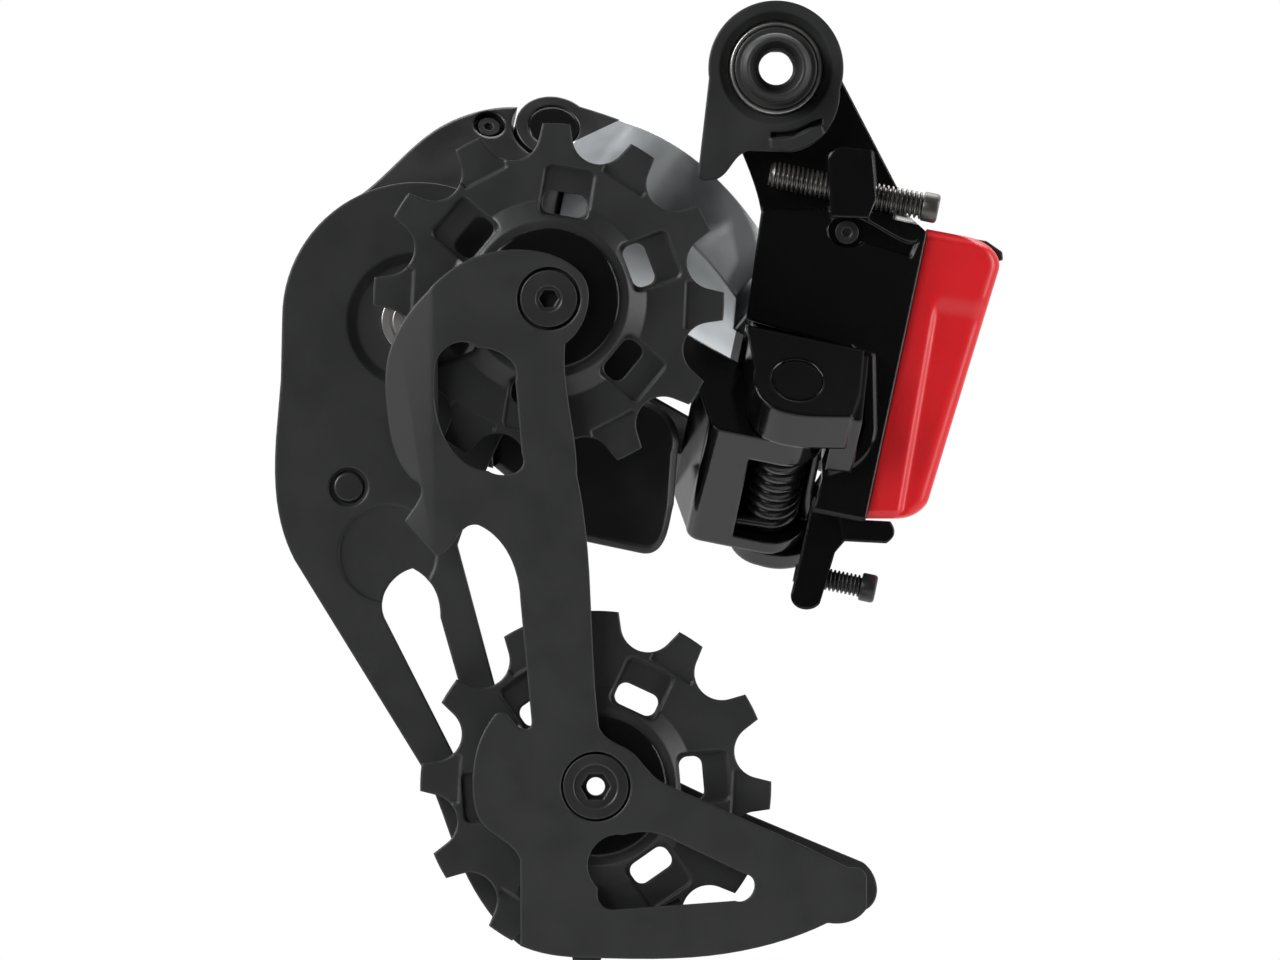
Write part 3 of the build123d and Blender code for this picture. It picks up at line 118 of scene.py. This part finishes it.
def make_world():
    """White background behind the object, and a darker room on the camera's side."""
    world = bpy.data.worlds.new("studio")
    world.use_nodes = True
    bpy.context.scene.world = world
    nodes, links = world.node_tree.nodes, world.node_tree.links
    nodes.clear()
    where = nodes.new("ShaderNodeTexCoord")
    split = nodes.new("ShaderNodeSeparateXYZ")
    depth = nodes.new("ShaderNodeMapRange")
    depth.inputs["From Min"].default_value = ROOM_EDGE
    depth.inputs["From Max"].default_value = BACKDROP_EDGE
    depth.inputs["To Min"].default_value = ROOM_LIGHT
    depth.inputs["To Max"].default_value = BACKDROP_LIGHT
    room = nodes.new("ShaderNodeBackground")
    backdrop = nodes.new("ShaderNodeBackground")
    backdrop.inputs["Color"].default_value = (1, 1, 1, 1)
    seen = nodes.new("ShaderNodeLightPath")
    choose = nodes.new("ShaderNodeMixShader")
    output = nodes.new("ShaderNodeOutputWorld")
    links.new(where.outputs["Generated"], split.inputs[0])
    links.new(split.outputs["Y"], depth.inputs["Value"])
    links.new(depth.outputs[0], room.inputs["Strength"])
    links.new(seen.outputs["Is Camera Ray"], choose.inputs[0])
    links.new(room.outputs[0], choose.inputs[1])
    links.new(backdrop.outputs[0], choose.inputs[2])
    links.new(choose.outputs[0], output.inputs["Surface"])


bpy.context.scene.view_settings.view_transform = "Standard"
make_camera()
make_world()
make_softbox("key_light", (-1.0, -0.35, 0.55), 0.9, (0.30, 0.55), 7.0)
make_softbox("right_light", (1.0, -0.30, 0.15), 0.9, (0.25, 0.8), 5.0)
make_softbox("top_light", (0.0, 0.45, 0.9), 0.8, (0.8, 0.5), 7.0)
make_softbox("front_light", (-0.55, -0.75, 0.35), 1.2, (0.6, 0.5), 5.0)


# ------------------------------------------------ materials
CLOUD_SIZE = 14 * MM            # features of the noise behind each part of a finish
SCUFF_SIZE = 3 * MM
SMUDGE_SIZE = 6 * MM
WEAR_RADIUS = 0.35 * MM         # how far from an edge its wear reaches
WEAR_LEAN = (0.88, 0.99)        # cosine of the normal's lean: fully worn, not worn


def shader(name):
    """New material with a Principled shader, and its node and link lists."""
    made = bpy.data.materials.new(name)
    made.use_nodes = True
    tree = made.node_tree
    return made, tree.nodes, tree.links, tree.nodes["Principled BSDF"]


def noise(nodes, links, where, size, detail, stretch=None):
    """Noise with features of about `size` metres; `stretch` is a rotation and a scale."""
    texture = nodes.new("ShaderNodeTexNoise")
    texture.inputs["Scale"].default_value = 1.0 / size
    texture.inputs["Detail"].default_value = detail
    source = where.outputs["Object"]
    if stretch:
        mapping = nodes.new("ShaderNodeMapping")
        mapping.inputs["Rotation"].default_value = stretch[0]
        mapping.inputs["Scale"].default_value = stretch[1]
        links.new(source, mapping.inputs[0])
        source = mapping.outputs[0]
    links.new(source, texture.inputs["Vector"])
    return texture.outputs["Fac"]


def spread(nodes, links, value, low, high, start=0.35, end=0.65):
    """Maps a value from the range start to end, as noise has, to the range low to high."""
    span = nodes.new("ShaderNodeMapRange")
    span.inputs["From Min"].default_value = start
    span.inputs["From Max"].default_value = end
    span.inputs["To Min"].default_value = low
    span.inputs["To Max"].default_value = high
    links.new(value, span.inputs["Value"])
    return span.outputs[0]


def worn_edges(nodes, links, radius, start, end):
    """1 on outside edges, 0 on open faces: how far a rounded normal leans from the true one."""
    rounded = nodes.new("ShaderNodeBevel")
    rounded.samples = 6
    rounded.inputs["Radius"].default_value = radius
    true = nodes.new("ShaderNodeNewGeometry")
    facing = nodes.new("ShaderNodeVectorMath")
    facing.operation = "DOT_PRODUCT"
    links.new(rounded.outputs[0], facing.inputs[0])
    links.new(true.outputs["Normal"], facing.inputs[1])
    return spread(nodes, links, facing.outputs["Value"], 1.0, 0.0, start, end)


def mix_colour(nodes, links, factor, first, second):
    """Mixes two colours, each a tuple or a node's output."""
    mix = nodes.new("ShaderNodeMix")
    mix.data_type = "RGBA"
    links.new(factor, mix.inputs["Factor"])
    for socket, colour in ((mix.inputs["A"], first), (mix.inputs["B"], second)):
        if isinstance(colour, tuple):
            socket.default_value = (*colour, 1.0)
        else:
            links.new(colour, socket)
    return mix.outputs["Result"]


def surface(name, colour, roughness, metallic=0.0, variation=0.12, rough_spread=0.05,
            grain=0.15 * MM, bump=0.1, wear=0.0, wear_colour=(0.25, 0.25, 0.25), stretch=None,
            coat=0.0, coat_roughness=0.08, specular=0.5, edge=0.0, relief_depth=0.02 * MM):
    """Procedural finish: clouded colour, uneven roughness, fine grain, soft and worn edges."""
    made, nodes, links, out = shader(name)
    where = nodes.new("ShaderNodeTexCoord")
    dark = tuple(channel * (1 - variation) for channel in colour)
    light = tuple(min(1.0, channel * (1 + variation)) for channel in colour)
    clouds = noise(nodes, links, where, CLOUD_SIZE, 5.0)
    tint = mix_colour(nodes, links, spread(nodes, links, clouds, 0.0, 1.0), dark, light)
    if wear:
        scuffs = noise(nodes, links, where, SCUFF_SIZE, 6.0)
        edges = worn_edges(nodes, links, WEAR_RADIUS, *WEAR_LEAN)
        rubbed = nodes.new("ShaderNodeMath")
        rubbed.operation = "MULTIPLY"
        links.new(edges, rubbed.inputs[0])
        links.new(spread(nodes, links, scuffs, 0.0, wear, 0.30, 0.70), rubbed.inputs[1])
        tint = mix_colour(nodes, links, rubbed.outputs[0], tint, wear_colour)
    links.new(tint, out.inputs["Base Color"])
    smudges = noise(nodes, links, where, SMUDGE_SIZE, 4.0)
    low, high = max(0.02, roughness - rough_spread), min(1.0, roughness + rough_spread)
    links.new(spread(nodes, links, smudges, low, high), out.inputs["Roughness"])
    fine = noise(nodes, links, where, grain, 2.0, stretch)
    relief = nodes.new("ShaderNodeBump")
    relief.inputs["Strength"].default_value = bump
    relief.inputs["Distance"].default_value = relief_depth
    links.new(fine, relief.inputs["Height"])
    links.new(relief.outputs[0], out.inputs["Normal"])
    if edge:
        rounded = nodes.new("ShaderNodeBevel")
        rounded.samples = 8
        rounded.inputs["Radius"].default_value = edge
        links.new(rounded.outputs[0], relief.inputs["Normal"])
        if coat:
            links.new(rounded.outputs[0], out.inputs["Coat Normal"])
    out.inputs["Metallic"].default_value = metallic
    out.inputs["Specular IOR Level"].default_value = specular
    out.inputs["Coat Weight"].default_value = coat
    out.inputs["Coat Roughness"].default_value = coat_roughness
    return made


ALONG_LINKS = ((0.0, radians(-12), 0.0), (0.06, 1.0, 1.0))      # grain drawn out lengthwise

MATERIALS = {
    "blasted_black": surface("blasted_black", (0.016, 0.0165, 0.017), 0.50, variation=0.06,
                             grain=0.14 * MM, bump=0.55, wear=0.25, wear_colour=(0.07, 0.07, 0.07),
                             edge=0.55 * MM),
    "gloss_black": surface("gloss_black", (0.0042, 0.0042, 0.0046), 0.13, variation=0.15,
                           grain=1.6 * MM, bump=0.25, specular=0.42, edge=0.7 * MM),
    "satin_black": surface("satin_black", (0.010, 0.010, 0.011), 0.36, variation=0.10,
                           grain=0.5 * MM, bump=0.35, specular=0.40, edge=0.7 * MM),
    "graphite": surface("graphite", (0.64, 0.67, 0.69), 0.36, metallic=1.0, variation=0.06,
                        grain=0.10 * MM, bump=0.30, stretch=ALONG_LINKS, edge=0.4 * MM),
    "bright_steel": surface("bright_steel", (0.66, 0.65, 0.62), 0.30, metallic=1.0, variation=0.06,
                            grain=0.10 * MM, bump=0.25, edge=0.15 * MM),
    "dark_steel": surface("dark_steel", (0.020, 0.020, 0.021), 0.34, variation=0.15,
                          grain=0.20 * MM, bump=0.30, wear=0.5, wear_colour=(0.20, 0.20, 0.20),
                          edge=0.15 * MM),
    "satin_bolt": surface("satin_bolt", (0.018, 0.018, 0.019), 0.36, variation=0.08,
                          grain=0.12 * MM, bump=0.30, wear=0.4, wear_colour=(0.14, 0.14, 0.14),
                          edge=0.25 * MM),
    "worn_steel": surface("worn_steel", (0.13, 0.125, 0.115), 0.38, metallic=0.85, variation=0.35,
                          grain=0.25 * MM, bump=0.50, wear=0.9, wear_colour=(0.50, 0.49, 0.46)),
    "spring_black": surface("spring_black", (0.010, 0.010, 0.011), 0.26, variation=0.15,
                            grain=0.30 * MM, bump=0.25),
    "red_plastic": surface("red_plastic", (0.80, 0.016, 0.022), 0.34, variation=0.03,
                           grain=0.35 * MM, bump=0.20, rough_spread=0.04, edge=0.3 * MM),
    "black_plastic": surface("black_plastic", (0.018, 0.018, 0.019), 0.48, variation=0.10,
                             grain=0.25 * MM, bump=0.40, edge=0.3 * MM),
    "pulley_nylon": surface("pulley_nylon", (0.018, 0.0185, 0.019), 0.44, variation=0.10,
                            grain=0.30 * MM, bump=0.45, wear=0.2, wear_colour=(0.06, 0.06, 0.06),
                            edge=0.6 * MM),
    "soft_rubber": surface("soft_rubber", (0.022, 0.022, 0.022), 0.65, grain=0.2 * MM, bump=0.5),
    "lens": surface("lens", (0.70, 0.74, 0.72), 0.12, variation=0.03, bump=0.1, coat=0.6),
    "board": surface("board", (0.015, 0.085, 0.045), 0.40, variation=0.20, grain=0.8 * MM,
                     bump=0.4),
    "gold": surface("gold", (0.80, 0.55, 0.20), 0.22, metallic=1.0, variation=0.05, bump=0.2),
    "floor": surface("floor", (0.66, 0.66, 0.66), 0.6, variation=0.01, grain=1.0 * MM, bump=0.1),
}


END_LINE_POINT = Vector((-29.1, 0.0, -10.4)) * MM       # slanted edge of the link's upper end
END_LINE_NORMAL = Vector((0.43, 0.0, -0.90))
LINK_HEADING = Vector((-0.8464, 0.2306, 0.4800))        # from the link's fixed pin to its other
DARK_ROOT = 6.1 * MM            # reach of the black end past the fixed pin
TONE_BLEND = 0.05 * MM
LINK_BLACK = (0.006, 0.006, 0.0065)


def two_tone_link():
    """Bright link with black ends: one past a slanted line, the other near the fixed pin."""
    made = MATERIALS["graphite"].copy()
    made.name = "graphite_black_ends"
    nodes, links = made.node_tree.nodes, made.node_tree.links
    out = nodes["Principled BSDF"]
    where = nodes.new("ShaderNodeTexCoord")
    root = Vector(JOINTS["outer_link_pivot"]["pos_m"])
    masks = []
    for origin, normal, reach in ((END_LINE_POINT, END_LINE_NORMAL, 0.0),
                                  (root, LINK_HEADING, DARK_ROOT)):
        facing = nodes.new("ShaderNodeVectorMath")
        facing.operation = "DOT_PRODUCT"
        facing.inputs[1].default_value = normal
        links.new(where.outputs["Object"], facing.inputs[0])
        level = origin.dot(normal) + reach
        masks.append(spread(nodes, links, facing.outputs["Value"], 0.0, 1.0,
                            level, level + TONE_BLEND))
    both = nodes.new("ShaderNodeMath")
    both.operation = "MULTIPLY"
    links.new(masks[0], both.inputs[0])
    links.new(masks[1], both.inputs[1])
    bright = out.inputs["Base Color"].links[0].from_socket
    tone = mix_colour(nodes, links, both.outputs[0], LINK_BLACK, bright)
    links.new(tone, out.inputs["Base Color"])
    links.new(both.outputs[0], out.inputs["Metallic"])
    return made


def paint(piece, slot):
    """Gives a piece the finish of one of the record's slots."""
    piece.data.materials.clear()
    piece.data.materials.append(MATERIALS[slot])


def make_floor():
    """Round pale floor below the object."""
    shape = bmesh.new()
    bmesh.ops.create_circle(shape, cap_ends=True, segments=96, radius=FLOOR_RADIUS)
    data = bpy.data.meshes.new("floor")
    shape.to_mesh(data)
    shape.free()
    floor = bpy.data.objects.new("floor", data)
    middle = (cad_box[0] + cad_box[1]) / 2
    floor.location = (middle.x, middle.y, cad_box[0].z - FLOOR_DROP)
    bpy.context.scene.collection.objects.link(floor)
    data.materials.append(MATERIALS["floor"])


make_floor()


# ------------------------------------------------ CAD pieces: finish and soft edges
SHARP_EDGE = 0.08 * MM          # edge rounding of the pieces not listed here
EDGE_OF = {
    "b_knuckle": 0.55 * MM,
    "p_knuckle": 0.50 * MM,
    "inner_link": 0.50 * MM,
    "outer_link": 0.40 * MM,
    "inner_cage": 0.30 * MM,
    "outer_cage": 0.35 * MM,
    "hanger_washer": 0.35 * MM,
    "drive_housing": 0.50 * MM,
    "terminal_cover": 0.60 * MM,
    "battery_latch": 0.25 * MM,
    "guide_pulley": 0.25 * MM,
    "tension_pulley": 0.25 * MM,
}


WELD_DISTANCE = 1e-6
FLAT_ANGLE = radians(0.6)       # faces closer to one plane than this become one
CORNER_ANGLE = radians(32)      # sharper edges than this are rounded


def soften(piece, width):
    """Joins the solid's faces, rounds its sharp edges and shades it by face size."""
    weld = piece.modifiers.new("weld", "WELD")
    weld.merge_threshold = WELD_DISTANCE
    flats = piece.modifiers.new("flats", "DECIMATE")
    flats.decimate_type = "DISSOLVE"
    flats.angle_limit = FLAT_ANGLE
    rounding = piece.modifiers.new("rounding", "BEVEL")
    rounding.width = width
    rounding.segments = 3
    rounding.limit_method = "ANGLE"
    rounding.angle_limit = CORNER_ANGLE
    rounding.use_clamp_overlap = True
    shading = piece.modifiers.new("shading", "WEIGHTED_NORMAL")
    shading.keep_sharp = False


for node, piece in NODES.items():
    paint(piece, SLOT_OF[node])
    soften(piece, EDGE_OF.get(node, SHARP_EDGE))


NODES["outer_link"].data.materials.clear()
NODES["outer_link"].data.materials.append(two_tone_link())


# ------------------------------------------------ pieces that replace plain CAD solids
def skin(rings, looped=True, capped=True):
    """Vertices and faces of a skin through rings of equal length."""
    count = len(rings[0])
    points = [point for ring in rings for point in ring]
    faces = []
    for row in range(len(rings) - 1):
        low, high = row * count, (row + 1) * count
        for step in range(count if looped else count - 1):
            after = (step + 1) % count
            faces.append((low + step, low + after, high + after, high + step))
    if capped:
        faces.append(tuple(reversed(range(count))))
        faces.append(tuple(range(len(points) - count, len(points))))
    return points, faces


def new_object(name, points, faces, smooth_angle=None):
    """Object with its faces turned outward, smooth across edges flatter than the angle."""
    data = bpy.data.meshes.new(name)
    data.from_pydata([tuple(point) for point in points], [], faces)
    shape = bmesh.new()
    shape.from_mesh(data)
    bmesh.ops.recalc_face_normals(shape, faces=shape.faces)
    if smooth_angle:
        for edge in shape.edges:
            edge.smooth = edge.calc_face_angle(0.0) < smooth_angle
        for face in shape.faces:
            face.smooth = True
    shape.to_mesh(data)
    shape.free()
    made = bpy.data.objects.new(name, data)
    bpy.context.scene.collection.objects.link(made)
    return made


def stand_in(name, points, faces, node, smooth_angle):
    """New piece with a node's finish and body, in that node's place."""
    piece = new_object(name, points, faces, smooth_angle)
    paint(piece, SLOT_OF[node])
    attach(piece, BODY_OF[node])
    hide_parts(node)
    return piece


def spindle(node, axis):
    """Start point on the axis, length and outer radius of a round node about `axis`."""
    along = Vector(axis).normalized()
    across = along.orthogonal().normalized()
    third = along.cross(across)
    spans = []
    for direction in (along, across, third):
        reach = [vertex.co.dot(direction) for vertex in NODES[node].data.vertices]
        spans.append((min(reach), max(reach)))
    (start, end), (left, right), (low, high) = spans
    centre = across * (left + right) / 2 + third * (low + high) / 2
    return centre + along * start, end - start, max(right - left, high - low) / 2


def around(origin, along, start, radius, turn):
    """Point at an angle about an axis, with angle 0 in the direction `start`."""
    side = along.cross(start)
    return origin + (start * cos(turn) + side * sin(turn)) * radius


ROUND = 48                      # points round a screw
RINGS_PER_PITCH = 12
THREAD_DEPTH = 0.61             # of the pitch
THREAD_CREST = 1.85             # a value over 1 is a flat crest, one under 0 a flat root
THREAD_FLANK = 2.5
LEAD_IN = 1.2                   # pitches from the tip to the full thread
TIP_THREAD = 0.15               # share of the full thread at the tip itself
HEAD_CORNER = 0.12              # of the head's length, as are the two below
KEY_MOUTH = 0.94
KEY_FLOOR = 0.35
KEY_CHAMFER = 1.08              # width of the key hole's mouth, of the hole's own


def socket_screw(name, node, joint, thread_r, pitch, head_length, key_r):
    """Hexagon socket screw with a cut thread, in place of a node that slides on `joint`."""
    along = Vector(JOINTS[joint]["axis"]).normalized()
    tip, length, head_r = spindle(node, along)
    start = along.orthogonal().normalized()
    shank = length - head_length

    def ring(height, radius_at):
        turns = [tau * step / ROUND for step in range(ROUND)]
        return [around(tip + along * height, along, start, radius_at(turn), turn)
                for turn in turns]

    def thread(height, turn):
        phase = (height / pitch - turn / tau) % 1.0
        crest = min(1.0, max(0.0, THREAD_CREST - THREAD_FLANK * abs(2 * phase - 1)))
        lead_in = min(1.0, height / (LEAD_IN * pitch) + TIP_THREAD)
        return thread_r - THREAD_DEPTH * pitch * (1 - crest * lead_in)

    def hexagon(radius, turn):
        return radius / cos((turn + pi / 6) % (pi / 3) - pi / 6)

    stations = int(shank / pitch * RINGS_PER_PITCH)
    heights = [shank * station / stations for station in range(stations + 1)]
    rings = [ring(height, lambda turn: thread(height, turn)) for height in heights]
    soft = HEAD_CORNER * head_length
    for height, radius in (
        (0.0, head_r - soft),
        (soft * 0.3, head_r - soft * 0.3),
        (soft, head_r),
        (head_length - soft * 1.6, head_r),
        (head_length - soft * 0.5, head_r - soft * 0.5),
        (head_length, head_r - soft * 1.6),
    ):
        rings.append(ring(shank + height, lambda turn: radius))
    for height, radius in (
        (head_length, key_r * KEY_CHAMFER),
        (head_length * KEY_MOUTH, key_r),
        (head_length * KEY_FLOOR, key_r),
    ):
        rings.append(ring(shank + height, lambda turn: hexagon(radius, turn)))
    stand_in(name, *skin(rings), node, radians(32))


socket_screw("angle_screw", "b_screw", "b_screw_travel",
             1.95 * MM, 0.7 * MM, 2.4 * MM, 1.0 * MM)
socket_screw("travel_limit_screw", "limit_screw", "limit_screw_travel",
             1.6 * MM, 0.6 * MM, 2.3 * MM, 1.0 * MM)


WIRE_SIDES = 14
STEPS_PER_COIL = 40


def tube(path, radius):
    """Rings of a round wire along a path."""
    rings = []
    normal = None
    for place, point in enumerate(path):
        before, after = path[max(place - 1, 0)], path[min(place + 1, len(path) - 1)]
        heading = (after - before).normalized()
        if normal is None:
            normal = heading.orthogonal().normalized()
        normal = (normal - heading * normal.dot(heading)).normalized()
        other = heading.cross(normal)
        turns = [tau * step / WIRE_SIDES for step in range(WIRE_SIDES)]
        rings.append([point + (normal * cos(turn) + other * sin(turn)) * radius for turn in turns])
    return rings


def coil_spring(name, node, axis, turns, wire_r, leg, leg_turn):
    """Torsion spring with a straight leg at its far end, in place of a plain tube."""
    along = Vector(axis).normalized()
    origin, length, outer_r = spindle(node, along)
    start = (Vector((0, 0, -1)) + along * along.z).normalized()
    coil_r = outer_r - wire_r
    rise = length - 2 * wire_r
    steps = int(turns * STEPS_PER_COIL)
    path = []
    for step in range(steps + 1):
        share = step / steps
        turn = leg_turn + tau * turns * (share - 1)
        path.append(around(origin + along * (wire_r + rise * share), along, start, coil_r, turn))
    last = path[-1]
    heading = (last - path[-2]).normalized()
    path += [last + heading * leg * share for share in (0.25, 0.5, 0.75, 1.0)]
    stand_in(name, *skin(tube(path, wire_r)), node, radians(60))


PIN_AXIS = -Vector(JOINTS["fold"]["axis"])
coil_spring("return_coil_spring", "return_spring", PIN_AXIS,
            7.0, 1.12 * MM, 5.5 * MM, radians(20))


# The terminal cover: stations from its top to its foot, each a loop round its near side, its
# back and its far side. Depths are measured back from the front edge beside the terminals.
COVER_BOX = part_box("terminal_cover")
COVER_TOP_EDGE = Vector((21.9, 0, -23.3)) * MM
COVER_LOW_EDGE = Vector((13.05, 0, -65.3)) * MM
COVER_STATIONS = 80
COVER_WALL = 1.3 * MM
COVER_DEPTH_TOP = 11.8 * MM
COVER_DEPTH_LOW = 8.1 * MM
COVER_CROWN = 5.9 * MM          # depth of the flat top, before the back curves down
COVER_CROWN_LENGTH = 4.2 * MM
COVER_TOE = 0.55                # share of the depth that is left at the foot
COVER_TOE_LENGTH = 3.0 * MM
COVER_FLANGE = 2.5 * MM         # proud strip beside the terminals, in front of the sunk panel
COVER_FLARE = 1.6 * MM          # the flange is this much wider at the foot
COVER_STEP = 8.5 * MM           # from the top to the sunk panel
COVER_INSET = 1.0 * MM          # how deep the panel is sunk
COVER_RAMP = 1.3 * MM           # width of the slopes into the panel, behind the flange
COVER_STEP_RAMP = 4.2 * MM      # and below the head
COVER_CORNER = 2.2 * MM         # radius between a side and the back
COVER_TOP_SOFT = 1.4 * MM       # lengths over which the sides draw in at the ends
COVER_LOW_SOFT = 1.2 * MM
COVER_DRAW_IN = 0.8 * MM
COVER_TOP_RISE = 0.02           # rise of a station towards its back, for each unit of depth
COVER_LOW_RISE = 0.21
SIDE_STEPS = 22
CORNER_STEPS = 8
BACK_STEPS = 12
GROOVE_MARGIN = 0.3 * MM        # beside the latch, at either end of it
GROOVE_OUTLINE = (              # x and z in millimetres, under and over the latch
    (22.0, -25.4), (28.4, -26.3), (31.2, -28.4), (35.0, -28.8), (35.0, -20.0), (22.0, -20.0),
)


def ease(value):
    """Smooth step from 0 to 1."""
    value = min(1.0, max(0.0, value))
    return value * value * (3 - 2 * value)


def arch(share):
    """Height of a quarter circle: 1 at its crown, where `share` is 0, and 0 at its foot."""
    return (1 - share * share) ** 0.5


def cover_depth(down, length):
    """Depth of the cover behind its front edge, at a distance from its top."""
    straight = COVER_DEPTH_TOP + (COVER_DEPTH_LOW - COVER_DEPTH_TOP) * down / length
    if down < COVER_CROWN_LENGTH:
        return COVER_CROWN + (straight - COVER_CROWN) * arch(1 - down / COVER_CROWN_LENGTH)
    if down > length - COVER_TOE_LENGTH:
        share = 1 - (length - down) / COVER_TOE_LENGTH
        return straight * (COVER_TOE + (1 - COVER_TOE) * arch(share))
    return straight


def cover_loop(down, length, near, far):
    """Loop of (depth, y) round the cover's outside, from its near front edge to its far one."""
    depth = cover_depth(down, length)
    middle, half = (near + far) / 2, (far - near) / 2
    flange = COVER_FLANGE + COVER_FLARE * down / length
    below_head = ease((down - COVER_STEP) / COVER_STEP_RAMP)
    at_end = 1 - ease(down / COVER_TOP_SOFT) + 1 - ease((length - down) / COVER_LOW_SOFT)
    side = []
    for step in range(SIDE_STEPS + 1):
        back = step / SIDE_STEPS * (depth - COVER_CORNER)
        sunk = ease((back - flange) / COVER_RAMP) * below_head
        side.append((back, half - COVER_INSET * sunk - COVER_DRAW_IN * at_end))
    edge = side[-1][1]
    for step in range(1, CORNER_STEPS + 1):
        turn = pi / 2 * step / CORNER_STEPS
        side.append((depth - COVER_CORNER * (1 - sin(turn)),
                     edge - COVER_CORNER * (1 - cos(turn))))
    rear = side[-1][1]
    loop = [(back, middle - reach) for back, reach in side]
    loop += [(depth, middle - rear * (1 - 2 * step / BACK_STEPS)) for step in range(1, BACK_STEPS)]
    loop += [(back, middle + reach) for back, reach in reversed(side)]
    return loop


def groove_cutter():
    """Prism with the room that the latch needs across the cover's head."""
    low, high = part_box("battery_latch")
    rings = [
        [Vector((x * MM, y, z * MM)) for x, z in GROOVE_OUTLINE]
        for y in (low.y - GROOVE_MARGIN, high.y + GROOVE_MARGIN)
    ]
    return new_object("groove", *skin(rings))


def terminal_cover():
    """Moulded cover: flange beside the terminals, proud head, sunk sides and rounded back."""
    reach = COVER_LOW_EDGE - COVER_TOP_EDGE
    length = reach.length
    heading = reach.normalized()
    outward = Vector((-heading.z, 0, heading.x))
    near, far = COVER_BOX[0].y, COVER_BOX[1].y
    rings = []
    for station in range(COVER_STATIONS + 1):
        share = 0.5 - 0.5 * cos(pi * station / COVER_STATIONS)
        down = length * share
        rise = COVER_TOP_RISE * (1 - share) + COVER_LOW_RISE * share
        rings.append([
            COVER_TOP_EDGE + heading * (down - rise * back) + outward * back + Vector((0, y, 0))
            for back, y in cover_loop(down, length, near, far)
        ])
    points, faces = skin(rings, looped=False, capped=False)
    count = len(rings[0])
    faces.append(tuple(range(count)))
    faces.append(tuple(reversed(range(len(points) - count, len(points)))))
    piece = stand_in("moulded_terminal_cover", points, faces, "terminal_cover", radians(50))
    wall = piece.modifiers.new("wall", "SOLIDIFY")
    wall.thickness = COVER_WALL
    wall.offset = -1
    groove = groove_cutter()
    cut = piece.modifiers.new("latch_groove", "BOOLEAN")
    cut.object = groove
    cut.solver = "EXACT"
    bpy.context.view_layer.update()
    evaluated = piece.evaluated_get(bpy.context.evaluated_depsgraph_get())
    final = bpy.data.meshes.new_from_object(evaluated)
    piece.modifiers.clear()
    piece.data = final
    bpy.data.objects.remove(groove)


terminal_cover()
